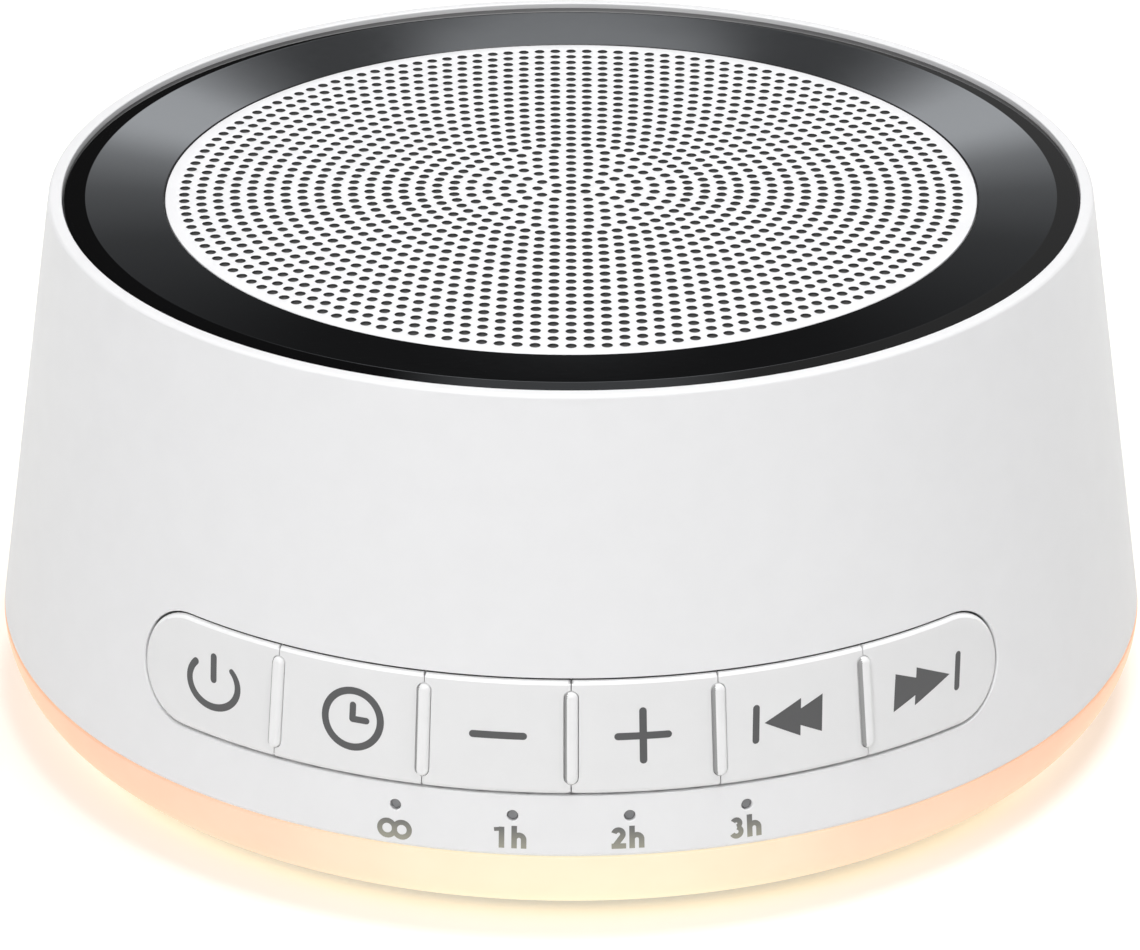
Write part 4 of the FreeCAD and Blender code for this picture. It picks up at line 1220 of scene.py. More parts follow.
@dataclass(frozen=True)
class Clear(Finish):
    """Moulded clear acrylic, frosted at its end."""

    colour: Colour
    through: float
    roughness: float

    def mix(self, recipe: Recipe) -> None:
        """Puts the finish's nodes together.

        Args:
            recipe: The new material.
        """
        recipe.paint(recipe.noise(0.5, 2.0), shade(self.colour, 0.92), self.colour)
        recipe.rough(recipe.noise(0.2, 2.0), self.roughness * 0.8, self.roughness * 1.2)
        recipe.bump(recipe.noise(0.12, 1.0), 0.004)
        recipe.value(transmission_weight=self.through, ior=1.49)


@dataclass(frozen=True)
class InkAndPaintedLight(Finish):
    """A colour that lightens towards its foot: printing ink on the key figures, printing ink with a painted
    glow at its foot on the labels, and painted shade on the grille's hole walls.
    """

    top_colour: Colour
    foot_colour: Colour
    foot: float
    top: float

    def mix(self, recipe: Recipe) -> None:
        """Puts the finish's nodes together.

        Args:
            recipe: The new material.
        """
        height = recipe.span(recipe.axis("Z"), self.foot * MM, self.top * MM, 0.0, 1.0)
        grain = recipe.math("MULTIPLY", recipe.noise(0.15, 2.0), 0.12)
        recipe.paint(recipe.math("ADD", height, grain), self.foot_colour, self.top_colour, 0.06, 1.06)
        recipe.bump(recipe.noise(0.1, 2.0), 0.002)
        recipe.value(roughness=0.5)


@dataclass(frozen=True)
class Glow(Finish):
    """Milky diffuser lit from inside: pale at the front and back, warmer at the sides."""

    tints: tuple[tuple[float, Colour], ...] = (
        (0.10, (1.0, 0.51, 0.29)),
        (0.40, (1.0, 0.54, 0.335)),
        (0.765, (1.0, 0.665, 0.45)),
        (1.0, (1.0, 0.90, 0.62)),
    )
    strength: float = 0.80
    foot_tints: tuple[tuple[float, Colour], ...] = (
        (0.07, (1.0, 0.92, 0.75)),
        (0.41, (0.85, 0.58, 0.20)),
        (0.82, (0.70, 0.43, 0.06)),
        (1.0, (0.69, 0.41, 0.06)),
    )
    foot_strength: float = 1.35
    foot: float = 1.38

    def mix(self, recipe: Recipe) -> None:
        """Puts the finish's nodes together.

        Args:
            recipe: The new material.
        """
        recipe.paint(recipe.noise(5.0, 2.0), (0.17, 0.16, 0.14), (0.2, 0.19, 0.17))
        along, across = recipe.axis("Y"), recipe.axis("X")
        square = recipe.math("MULTIPLY", along, along)
        whole = recipe.math("ADD", square, recipe.math("MULTIPLY", across, across))
        frontal = recipe.math("DIVIDE", square, whole)
        colour = recipe.ramp(frontal, self.tints)
        height = recipe.axis("Z")
        leak = recipe.span(height, (self.foot + 0.02) * MM, (self.foot + 0.05) * MM, 1.0, 0.0)
        mixed = recipe.mixed(leak, colour, recipe.ramp(frontal, self.foot_tints))
        recipe.link(mixed, recipe.shader.inputs["Emission Color"])
        dimmed = recipe.span(height, (self.foot + 0.1) * MM, (self.foot + 0.6) * MM,
                             self.strength * 0.8, self.strength)
        leaking = recipe.math("MULTIPLY", leak, self.foot_strength)
        recipe.link(recipe.math("ADD", dimmed, leaking), recipe.shader.inputs["Emission Strength"])
        recipe.bump(recipe.noise(0.2, 2.0), 0.003)
        recipe.value(roughness=0.45)


# Sub-assemblies

@dataclass
class Housing:
    """Tapered white housing, with its rim, its shelf and its screw posts."""

    strip: KeyStrip
    indicators: "Indicators"
    inlet: "PowerInlet"
    body_height: float = 50.0
    thickness: float = 2.2
    rim_width: float = 1.25
    rim_round: float = 0.35
    rim_inner_round: float = 0.14
    foot_round: float = 0.4
    shelf_top: float = 47.4
    shelf_under: float = 45.4
    shelf_bore: float = 31.5
    mouth_round: float = 0.13
    hole_round: float = 0.10
    post_ring: float = 40.0
    post_radius: float = 3.0
    post_bore: float = 1.4
    post_foot: float = 6.0
    look: Moulded = Moulded("shell_white", (0.815, 0.815, 0.82), 0.40)

    def outline(self) -> Outline:
        """The wall's section, from the seam up over the rim and down the inside.

        Returns:
            A closed outline of radius and height.
        """
        wall = self.strip.wall
        rim_bore = wall.radius(self.body_height) - self.rim_width
        return rounded([
            (wall.seam_radius, wall.seam_height, self.foot_round),
            (wall.radius(self.body_height), self.body_height, self.rim_round),
            (rim_bore, self.body_height, self.rim_inner_round),
            (rim_bore, self.shelf_top, 0.0),
            (self.shelf_bore, self.shelf_top, 0.15),
            (self.shelf_bore, self.shelf_under, 0.15),
            (wall.radius(self.shelf_under) - self.thickness, self.shelf_under, 0.0),
            (wall.seam_radius - self.thickness, wall.seam_height, 0.1),
        ], 7)

    def flare(self, rounding: float) -> list[Spot]:
        """The shape of a cutter whose mouth leaves a rounded edge.

        Args:
            rounding: Radius of the rounded edge.

        Returns:
            Growth and proud of each loop, from inside to outside.
        """
        turns = [math.radians(angle) for angle in range(0, 81, 16)]
        curve = [(rounding * (1 - math.cos(a)), rounding * (math.sin(a) - 1)) for a in turns]
        return [(0.0, -2.3 * self.thickness)] + curve + [(rounding + 0.5, 0.6)]

    def openings(self) -> Skin:
        """Cutters for the key window, the indicator holes and the power inlet.

        Returns:
            The cutters, as one skin.
        """
        wall = self.strip.wall
        skin = Skin()
        loops = [self.strip.outline(-grow, proud) for grow, proud in self.flare(self.mouth_round)]
        skin.tube(loops, fold=self.strip.round_steps // 2)
        lights = self.indicators
        for angle in lights.angles:
            bore = [(lights.hole_radius + grow, proud) for grow, proud in self.flare(self.hole_round)]
            skin.tube(wall.stud(angle, lights.height, bore))
        skin.tube(self.inlet.opening(wall, self.flare(self.hole_round)))
        return skin

    def posts(self) -> Skin:
        """Four hollow posts under the shelf.

        Returns:
            The posts, as one skin.
        """
        skin = Skin()
        section = rounded([
            (self.post_bore, self.post_foot, 0.1),
            (self.post_radius, self.post_foot, 0.2),
            (self.post_radius, self.shelf_under + 0.3, 0.0),
            (self.post_bore, self.shelf_under + 0.3, 0.0),
        ])
        for spot in ring_spots(self.post_ring, 4):
            skin.lathe(section, 32, spot)
        return skin

    def build(self) -> None:
        """Makes the housing."""
        shell = Skin().lathe(self.outline(), ROUND_STEPS).make("housing")
        carve(shell, self.openings().make("housing_cutters"), Carving.CUT)
        carve(shell, self.posts().make("housing_posts"), Carving.JOIN)
        self.strip.wall.smooth(shell, 0.0)
        finish_piece(shell, "root", self.look.build(), ["upper_shell"])


@dataclass
class TopFace:
    """Gloss bezel, perforated grille and the dust cloth behind it."""

    shelf_top: float = 47.4
    bezel_outer: float = 47.59
    bezel_edge_height: float = 49.53
    ridge_radius: float = 45.55
    ridge_height: float = 49.76
    bezel_inner: float = 38.2
    grille_radius: float = 38.1
    grille_top: float = 49.06
    grille_thick: float = 0.7
    lip_inner: float = 36.95
    edge_round: float = 0.1
    hole_radius: float = 0.495
    hole_pitch: float = 1.579
    hole_rings: int = 23
    even_rings: int = 6
    ring_margin: float = 0.03
    hole_round: float = 0.02
    side_steps: int = 5
    centre_steps: int = 20
    cloth_thick: float = 0.3
    cloth_gap: float = 0.1
    bezel_look: Gloss = Gloss("gloss_black", (0.003, 0.003, 0.0032))
    grille_look: Painted = Painted("grille_white", (0.86, 0.86, 0.87))
    # The hole walls are painted near black at the top and grey lower down, as painted shade inside the holes.
    hole_shade_look: InkAndPaintedLight = InkAndPaintedLight("hole_wall_painted_shade", (0.010, 0.010, 0.010), (0.20, 0.20, 0.20), 48.66, 48.98)
    cloth_look: Woven = Woven("dust_cloth", (0.12, 0.12, 0.125))

    @property
    def grille_under(self) -> float:
        """Height of the grille's back."""
        return self.grille_top - self.grille_thick

    def build_bezel(self) -> None:
        """Makes the bezel, with its lip under the grille's edge."""
        section = rounded([
            (self.lip_inner, self.shelf_top, 0.1),
            (self.bezel_outer, self.shelf_top, 0.1),
            (self.bezel_outer, self.bezel_edge_height, 0.12),
            (self.ridge_radius, self.ridge_height, 0.5),
            (self.bezel_inner, self.grille_top, self.edge_round),
            (self.bezel_inner, self.grille_under, 0.0),
            (self.lip_inner, self.grille_under, 0.05),
        ], 6)
        bezel = Skin().lathe(section, ROUND_STEPS).make("bezel")
        finish_piece(bezel, "root", self.bezel_look.build(), ["bezel_ring"])

    def ring_count(self, number: int) -> int:
        """Holes in a ring.

        Args:
            number: The ring's number, 0 for the centre.

        Returns:
            How many there are.
        """
        if number == 0:
            return 1
        return 6 * (number + int(number > self.even_rings))

    def arc(self, skin: Skin, radius: float, steps: int, height: float, first: float) -> range:
        """Adds a circle of points round the middle, from a first angle in radians."""
        turns = [first + math.tau * step / steps for step in range(steps)]
        return skin.loop(polar(radius, turn, height) for turn in turns)

    def stitch(self, skin: Skin, inner: Sequence[int], outer: Sequence[int]) -> None:
        """Fills the narrow strip between two circles that have different counts of points.

        Args:
            skin: The grille's skin.
            inner: Numbers of the inner circle's points.
            outer: Numbers of the outer circle's points.
        """
        def bearing(number: int) -> float:
            """Angle of a point from the front-to-back line."""
            point = skin.points[number]
            return (math.atan2(point.y, point.x) - math.pi / 2 + 1e-4) % math.tau
        near, far = sorted(inner, key=bearing), sorted(outer, key=bearing)
        near_turns = [bearing(number) for number in near] + [math.tau + bearing(near[0])]
        far_turns = [bearing(number) for number in far] + [math.tau + bearing(far[0])]
        here, there = 0, 0
        while here < len(near) or there < len(far):
            start, end = near[here % len(near)], far[there % len(far)]
            outer_done = there == len(far)
            if here < len(near) and (outer_done or near_turns[here + 1] <= far_turns[there + 1]):
                here += 1
                skin.faces.append((start, end, near[here % len(near)]))
            else:
                there += 1
                skin.faces.append((start, end, far[there % len(far)]))

    def hole(self, skin: Skin, top: Sequence[int], under: Sequence[int], middle: Vector,
             first: float) -> None:
        """Adds one hole with a rounded mouth inside its cell.

        Args:
            skin: The grille's skin.
            top: The cell's edge on the face, clockwise round the hole.
            under: The cell's edge on the back.
            middle: The hole's middle.
            first: Direction of the cell's first point, in radians.
        """
        bevel = self.hole_round
        steps = [(self.hole_radius + bevel, self.grille_top)]
        steps.append((self.hole_radius + bevel * 0.3, self.grille_top - bevel * 0.3))
        steps.append((self.hole_radius, self.grille_top - bevel))
        steps.append((self.hole_radius, self.grille_under))
        before = top
        for radius, height in steps:
            turns = [first - math.tau * step / len(top) for step in range(len(top))]
            ring = skin.loop(polar(radius, turn, height, middle) for turn in turns)
            skin.join(before, ring)
            before = ring
        skin.join(before, under)

    def ring(self, skin: Skin, number: int, inner: float, outer: float) -> list[tuple[range, range]]:
        """Adds one ring of holes.

        Args:
            skin: The grille's skin.
            number: The ring's number.
            inner: The ring's inner radius.
            outer: Its outer radius.

        Returns:
            The inner and outer edge circles, on the face and on the back.
        """
        count, parts = self.ring_count(number), self.side_steps
        first = math.pi / 2 - math.pi / count
        edges = []
        sides = []
        for height in (self.grille_top, self.grille_under):
            near = self.arc(skin, inner, count * parts, height, first)
            far = self.arc(skin, outer, count * parts, height, first)
            edges.append((near, far))
            spokes = []
            for index in range(count):
                turn = first + math.tau * index / count
                radii = [inner + (outer - inner) * step / parts for step in range(1, parts)]
                spokes.append(skin.loop(polar(radius, turn, height) for radius in radii))
            sides.append(spokes)
        for index in range(count):
            cell = []
            for (near, far), spokes in zip(edges, sides):
                total = count * parts
                start, end = index * parts, (index + 1) * parts
                line = [near[step % total] for step in range(start, end)]
                line += [near[end % total], *spokes[(index + 1) % count]]
                line += [far[step % total] for step in range(end, start, -1)]
                line += [far[start], *reversed(spokes[index])]
                cell.append(line)
            turn = math.pi / 2 + math.tau * index / count
            middle = Vector((math.cos(turn), math.sin(turn), 0.0)) * number * self.hole_pitch
            self.hole(skin, cell[0], cell[1], middle, self.corner_turn(skin, cell[0], middle))
        return edges

    def corner_turn(self, skin: Skin, line: Sequence[int], middle: Vector) -> float:
        """Direction from a hole's middle to its cell's first corner."""
        corner = skin.points[line[0]]
        return math.atan2(corner.y - middle.y, corner.x - middle.x)

    def build_grille(self) -> None:
        """Makes the perforated disc. Each ring starts with a hole on the front-to-back line."""
        skin = Skin()
        before = None
        for number in range(1, self.hole_rings + 1):
            inner = (number - 0.5) * self.hole_pitch + self.ring_margin
            outer = (number + 0.5) * self.hole_pitch - self.ring_margin
            edges = self.ring(skin, number, inner, outer)
            if before is None:
                before = self.centre(skin)
            for (_, last), (near, _) in zip(before, edges):
                self.stitch(skin, last, near)
            before = edges
        self.rim(skin, before)
        grille = skin.make("grille")
        finish_piece(grille, "root", self.grille_look.build(), ["speaker_grille"])
        second_look(grille, self.hole_shade_look.build(), self.in_hole)

    def in_hole(self, centre: Vector, normal: Vector) -> bool:
        """Whether a face of the grille is a hole's wall, which is painted dark as painted shade inside the
        hole.
        """
        return abs(normal.z) < 0.3 and math.hypot(centre.x, centre.y) < self.grille_radius - 0.5

    def centre(self, skin: Skin) -> list[tuple[range, range]]:
        """Adds the centre hole.

        Args:
            skin: The grille's skin.

        Returns:
            Its edge circles, on the face and on the back, as for a ring.
        """
        radius = 0.5 * self.hole_pitch - self.ring_margin
        top = self.arc(skin, radius, self.centre_steps, self.grille_top, 0.0)
        under = self.arc(skin, radius, self.centre_steps, self.grille_under, 0.0)
        middle = Vector((0.0, 0.0, 0.0))
        self.hole(skin, top[::-1], under[::-1], middle, self.corner_turn(skin, top[::-1], middle))
        return [(top, top), (under, under)]

    def rim(self, skin: Skin, edges: Sequence[tuple[range, range]]) -> None:
        """Adds the plain edge of the disc outside the last ring.

        Args:
            skin: The grille's skin.
            edges: The last ring's edge circles, on the face and on the back.
        """
        steps = len(edges[0][1])
        count = self.ring_count(self.hole_rings)
        first = math.pi / 2 - math.pi / count
        turns = [math.radians(angle) for angle in (90, 60, 30, 0)]
        rise = self.edge_round
        curve = [(self.grille_radius - rise * (1 - math.cos(a)), self.grille_top - rise * (1 - math.sin(a)))
                 for a in turns]
        before = edges[0][1]
        for radius, height in curve + [(self.grille_radius, self.grille_under)]:
            ring = self.arc(skin, radius, steps, height, first)
            skin.join(before, ring)
            before = ring
        skin.join(before, edges[1][1])

    def build_cloth(self) -> None:
        """Makes the dust cloth that is stretched under the grille."""
        radius = self.lip_inner - self.cloth_gap
        top, low = self.grille_under, self.grille_under - self.cloth_thick
        section = [(share * radius, low) for share in (0.0, 0.5, 1.0)]
        section += [(share * radius, top) for share in (1.0, 0.5, 0.0)]
        cloth = Skin().lathe(section, 180).make("dust_cloth")
        finish_piece(cloth, "root", self.cloth_look.build(), ["grille_cloth"])

    def build(self) -> None:
        """Makes the top face."""
        self.build_bezel()
        self.build_grille()
        self.build_cloth()


class Mark(Enum):
    """The figures on the keys."""

    POWER = "power"
    TIMER = "timer"
    MINUS = "minus"
    PLUS = "plus"
    PREVIOUS = "previous"
    NEXT = "next"


@dataclass(frozen=True)
class Marks:
    """Sizes of the key figures, which are drawn with one pen."""

    pen: float = 0.66
    arm: float = 2.22
    ring: float = 2.95
    hand: float = 1.30
    hand_pen: float = 0.60
    power_ring: Spot = (2.76, 2.28)
    power_pen: float = 0.68
    power_thin: float = 0.50
    arrow: float = 1.74

    def draw(self, mark: Mark) -> Figure:
        """The figure of one key.

        Args:
            mark: Which figure.

        Returns:
            The figure.
        """
        if mark is Mark.MINUS:
            return Figure([[stroke([(-self.arm, 0.08), (self.arm, 0.08)], self.pen)]])
        if mark is Mark.PLUS:
            level = [(-self.arm - 0.08, 0.05), (self.arm - 0.12, 0.05)]
            upright = [(-0.1, -self.arm), (-0.1, self.arm + 0.12)]
            return Figure([[stroke(arm, self.pen)] for arm in (level, upright)])
        if mark is Mark.TIMER:
            rim = [circle((0.0, 0.0), self.ring), circle((0.0, 0.0), self.ring - self.pen)]
            upright = stroke([(0.0, 0.0), (0.0, self.hand)], self.hand_pen)
            level = stroke([(0.0, 0.0), (self.hand, 0.0)], self.hand_pen)
            return Figure([rim, [upright], [level]])
        if mark is Mark.POWER:
            across, up = self.power_ring
            route = [(across * x, up * y - 0.1) for x, y in arc_route((0.0, 0.0), 1.0, 141.0, 405.0, 60)]
            ring = stroke(route, self.power_pen, self.power_thin, late=True)
            return Figure([[ring], [stroke([(-0.12, 2.32), (0.02, 0.22)], self.power_pen)]])
        if mark is Mark.PREVIOUS:
            return self.skip(-3.16, [(-2.38, 1.04), (-0.6, 3.13)], 0.06)
        return self.skip(3.39, [(2.42, -1.52), (0.46, -3.86)], 0.14)

    def skip(self, bar: float, arrows: Sequence[Spot], lean: float) -> Figure:
        """A bar and the arrows that point at it.

        Args:
            bar: Place of the bar.
            arrows: Tip and tail of each arrow.
            lean: How far the figure leans to the right for each millimetre up.

        Returns:
            The figure.
        """
        reach = self.arrow + 0.08 - self.pen / 2
        parts = [[stroke([(bar, -reach), (bar, reach)], self.pen - 0.04)]]
        for tip, tail in arrows:
            parts.append([[(tip, 0.0), (tail, -self.arrow), (tail, self.arrow)]])
        return Figure(parts, lean)


@dataclass
class Keys:
    """Six keys, the ribs between them, and the figures on the keys."""

    strip: KeyStrip
    gap: float = 0.15
    split: float = 0.09
    proud: float = 0.12
    thick: float = 1.6
    shoulder: float = 0.52
    notch_gap: float = 0.06
    stem_radius: float = 1.3
    stem_end: float = 4.6
    figure_proud: float = 0.012
    rib_proud: float = 0.6
    rib_round: float = 0.46
    plate_depth: float = 2.35
    plate_thick: float = 0.8
    plate_overlap: float = 0.85
    plate_reach: float = 46.1
    plate_steps: int = 92
    end_margin: float = 12.0
    stem_hole: float = 1.6
    key_look: Moulded = Moulded("key_white", (0.79, 0.79, 0.79), 0.38, 0.12, 0.0008)
    # Below this depth the strip's upper edge is painted dark grey as painted shade in the gap, and above it
    # the shoulder takes the painted highlight.
    gap_shade_depth: float = -0.22
    gap_shade_look: Moulded = Moulded("key_skirt_grey", (0.10, 0.10, 0.10), 0.5)
    # The upper shoulder is painted lighter than the keys' faces, as a painted highlight.
    shoulder_highlight_look: Moulded = Moulded("key_edge_white", (0.95, 0.95, 0.95), 0.38, 0.12, 0.0008)
    rib_look: Moulded = Moulded("rib_white", (0.84, 0.84, 0.84), 0.3)
    # The left flanks of the ribs are painted grey as painted shade.
    flank_shade_look: Moulded = Moulded("rib_painted_flank_shade", (0.30, 0.30, 0.30), 0.4)
    figure_look: InkAndPaintedLight = InkAndPaintedLight("key_figure_grey", (0.078, 0.078, 0.081), (0.084, 0.084, 0.086), 14.0, 24.0)

    def table(self) -> list[tuple[str, float, Mark]]:
        """What is where on the strip, from left to right.

        Returns:
            Name, angle of the middle, and figure of each key.
        """
        return [
            ("power", -36.5, Mark.POWER),
            ("timer", -21.0, Mark.TIMER),
            ("volume_down", -6.85, Mark.MINUS),
            ("volume_up", 6.85, Mark.PLUS),
            ("previous", 21.0, Mark.PREVIOUS),
            ("next", 36.5, Mark.NEXT),
        ]

    def shell(self) -> Skin:
        """The whole strip as one solid, with a rounded shoulder.

        Returns:
            The strip's skin.
        """
        strip = self.strip
        rows = [(strip.half, -self.thick), (4.4, -self.thick), (3.0, -self.thick), (1.5, -self.thick)]
        rows.append((self.gap, -self.thick))
        rows += [(self.gap + inwards, proud) for inwards, proud in quarter_round(self.shoulder, self.proud)]
        rows += [(1.5, self.proud), (3.0, self.proud), (4.4, self.proud), (strip.half, self.proud)]
        return Skin().tube([strip.outline(shrink, proud) for shrink, proud in rows], False)

    def notches(self) -> Skin:
        """Cutters that make room for the ribs.

        Returns:
            The cutters, as one skin.
        """
        skin = Skin()
        for angle in self.strip.rib_angles:
            depths = (-self.thick - 1.0, self.proud + 1.0)
            skin.tube([self.strip.bar(angle, -self.notch_gap, proud) for proud in depths])
        return skin

    def build_key(self, name: str, angle: float, mark: Mark, reach: Spot,
                  looks: dict[str, bpy.types.Material]) -> None:
        """Makes one key with its stem and its figure.

        Args:
            name: The key's name.
            angle: Angle of its middle.
            mark: Its figure.
            reach: Angles where it starts and ends.
            looks: The materials of the faces, the figures, the painted highlight on the upper shoulder and
                the painted shade in the upper gap.
        """
        strip = self.strip
        body = name + "_key"
        key = self.shell().make(body)
        carve(key, strip.wedge(*reach).make("key_wedge"), Carving.KEEP)
        carve(key, self.notches().make("key_notches"), Carving.CUT)
        stem = strip.wall.stud(angle, strip.height, [(self.stem_radius, -self.stem_end),
                                                     (self.stem_radius, -self.thick / 2)])
        carve(key, Skin().tube(stem).make("key_stem"), Carving.JOIN)
        strip.wall.smooth(key, self.proud)
        finish_piece(key, body, looks["face"], ["key_" + name])
        # The upper shoulder takes a painted highlight and the upper gap painted shade.
        second_look(key, looks["edge"], self.on_painted_highlight)
        second_look(key, looks["skirt"], self.in_gap_shade)
        top = self.proud + self.figure_proud
        figure = Marks().draw(mark).on_wall(mark.value + "_figure", strip.wall, angle, strip.height,
                                            self.proud - FIGURE_SUNK, top)
        strip.wall.smooth(figure, top)
        finish_piece(figure, body, looks["ink"])

    def on_painted_highlight(self, centre: Vector, normal: Vector) -> bool:
        """Whether a face is on the strip's rounded upper shoulder, which is painted lighter as a painted
        highlight.
        """
        wall = self.strip.wall
        return normal.z > 0.35 and self.gap_shade_depth <= wall.proud(centre) < self.proud - 0.005

    def in_gap_shade(self, centre: Vector, normal: Vector) -> bool:
        """Whether a face is on the strip's upper edge, behind its rounded shoulder, where shade in the gap is
        painted dark grey.

        Args:
            centre: The face's middle.
            normal: Its direction.

        Returns:
            True if it is.
        """
        wall = self.strip.wall
        upwards = normal.z > 0.5 and abs(normal.dot(wall.normal(centre))) < 0.75
        return upwards and wall.proud(centre) < self.gap_shade_depth

    def build_keys(self) -> None:
        """Makes the six keys."""
        looks = {"face": self.key_look.build(), "ink": self.figure_look.build(),
                 "edge": self.shoulder_highlight_look.build(), "skirt": self.gap_shade_look.build()}
        half_gap = math.degrees(self.split / 2 / self.strip.wall.radius(self.strip.height))
        far = self.strip.end_angle + self.end_margin
        edges = [-far, *self.strip.rib_angles, far]
        for index, (name, angle, mark) in enumerate(self.table()):
            reach = (edges[index] + half_gap, edges[index + 1] - half_gap)
            self.build_key(name, angle, mark, reach, looks)

    def build_frame(self) -> None:
        """Makes the curved carrier with the five ribs on it."""
        strip = self.strip
        half = (strip.rise / 2 + self.plate_overlap) / math.cos(strip.wall.tilt)
        back = -self.plate_depth - self.plate_thick
        loops = []
        for step in range(self.plate_steps + 1):
            angle = self.plate_reach * (2 * step / self.plate_steps - 1)
            corners = [(-half, back), (half, back), (half, -self.plate_depth), (-half, -self.plate_depth)]
            loops.append([strip.wall.place(angle, strip.height, 0.0, up, proud) for up, proud in corners])
        plate = Skin().tube(loops).make("key_frame_plate")
        holes = Skin()
        for _, angle, _ in self.table():
            bore = [(self.stem_hole, back - 0.5), (self.stem_hole, 0.5 - self.plate_depth)]
            holes.tube(strip.wall.stud(angle, strip.height, bore))
        carve(plate, holes.make("key_frame_holes"), Carving.CUT)
        ribs = Skin()
        rows = [(0.0, back + self.plate_thick / 2)] + quarter_round(self.rib_round, self.rib_proud)
        for angle in strip.rib_angles:
            ribs.tube([strip.bar(angle, shrink, proud) for shrink, proud in rows])
        carve(plate, ribs.make("key_ribs"), Carving.JOIN)
        plate.name = "key_ribs_and_frame"
        finish_piece(plate, "root", self.rib_look.build(), ["key_frame"])
        second_look(plate, self.flank_shade_look.build(), self.in_left_flank_shade)

    def in_left_flank_shade(self, centre: Vector, normal: Vector) -> bool:
        """Whether a face is on the left flank of a rib, above the keys, where shade is painted dark grey."""
        right = Vector((-centre.y, centre.x, 0.0)).normalized()
        return self.strip.wall.proud(centre) > self.proud and normal.dot(right) < -0.5

    def build(self) -> None:
        """Makes the key strip."""
        self.build_keys()
        self.build_frame()


@dataclass
class Indicators:
    """Four light pipes in small holes, and the labels under them."""

    wall: Wall = Wall()
    height: float = 12.01
    angles: tuple[float, ...] = (-16.5, -5.42, 5.42, 16.5)
    hole_radius: float = 0.5
    pipe_radius: float = 0.45
    pipe_recess: float = 0.35
    pipe_end: float = 6.05
    label_height: float = 9.86
    label_proud: float = 0.012
    pen: float = 0.49
    pipe_look: Clear = Clear("pipe_grey", (0.30, 0.30, 0.31), 0.25, 0.35)
    # The labels are grey print, painted lighter and olive towards their foot as painted glow from the light
    # ring.
    label_look: InkAndPaintedLight = InkAndPaintedLight("label_grey", (0.145, 0.145, 0.14), (0.33, 0.32, 0.26), 9.0, 11.0)

    def letter_h(self, left: float) -> list[list[Outline]]:
        """The letter h.

        Args:
            left: Its left edge.

        Returns:
            The letter's parts.
        """
        low, high, half = -0.88, 1.22, self.pen / 2
        leg, far = left + half, left + 1.33 - half
        reach = (far - leg) / 2
        arch = arc_route((leg + reach, -0.05), reach, 180.0, 0.0, 20) + [(far, low)]
        upright = stroke([(leg, low), (leg, high)], self.pen, blunt=True)
        return [[upright], [stroke(arch, self.pen, blunt=True)]]

    def digit(self, number: int, left: float) -> list[list[Outline]]:
        """A digit from 1 to 3.

        Args:
            number: Which digit.
            left: Its left edge.

        Returns:
            The digit's parts.
        """
        low, high, half = -0.88, 1.09, self.pen / 2
        middle = left + 0.65
        if number == 1:
            flag = stroke([(left + 0.7, high - 0.2), (left + 0.05, high - 0.26)], 0.36, blunt=True)
            return [[stroke([(left + 0.72, low), (left + 0.72, high)], self.pen, blunt=True)], [flag]]
        if number == 2:
            hook = arc_route((middle - 0.02, 0.48), 0.40, 165.0, -35.0, 20)
            hook.append((left + 0.3, low + half))
            base = stroke([(left + 0.02, low + half), (left + 1.3, low + half)], self.pen, blunt=True)
            return [[stroke(hook, self.pen, blunt=True)], [base]]
        upper = arc_route((middle - 0.04, 0.54), 0.33, 150.0, -80.0, 20)
        lower = arc_route((middle - 0.04, -0.24), 0.42, 80.0, -155.0, 20)
        return [[stroke(upper, self.pen * 0.95, blunt=True)], [stroke(lower, self.pen * 0.95, blunt=True)]]

    def labels(self) -> list[tuple[str, Figure]]:
        """The labels under the holes, from left to right.

        Returns:
            Name and figure of each label.
        """
        rings = [[circle((side * 0.68, -0.11), 0.93), circle((side * 0.68, -0.11), 0.45)] for side in (-1, 1)]
        figures = [("label_endless", Figure(rings))]
        for number in (1, 2, 3):
            figures.append(("label_%dh" % number, Figure(self.digit(number, -1.66) + self.letter_h(-0.07))))
        return figures

    def build(self) -> None:
        """Makes the pipes and the labels."""
        rise = -self.pipe_recess
        section = [(self.pipe_radius, -self.pipe_end), (self.pipe_radius, rise - 0.06),
                   (self.pipe_radius * 0.93, rise - 0.02), (self.pipe_radius * 0.6, rise),
                   (0.12, rise + 0.01)]
        pipes = Skin()
        for angle in self.angles:
            pipes.tube(self.wall.stud(angle, self.height, section, 24))
        finish_piece(pipes.make("light_pipe_set"), "root", self.pipe_look.build(),
                     ["light_pipes"])
        ink = self.label_look.build()
        for angle, (name, figure) in zip(self.angles, self.labels()):
            label = figure.on_wall(name, self.wall, angle, self.label_height, -FIGURE_SUNK,
                                   self.label_proud)
            self.wall.smooth(label, self.label_proud)
            finish_piece(label, "root", ink)


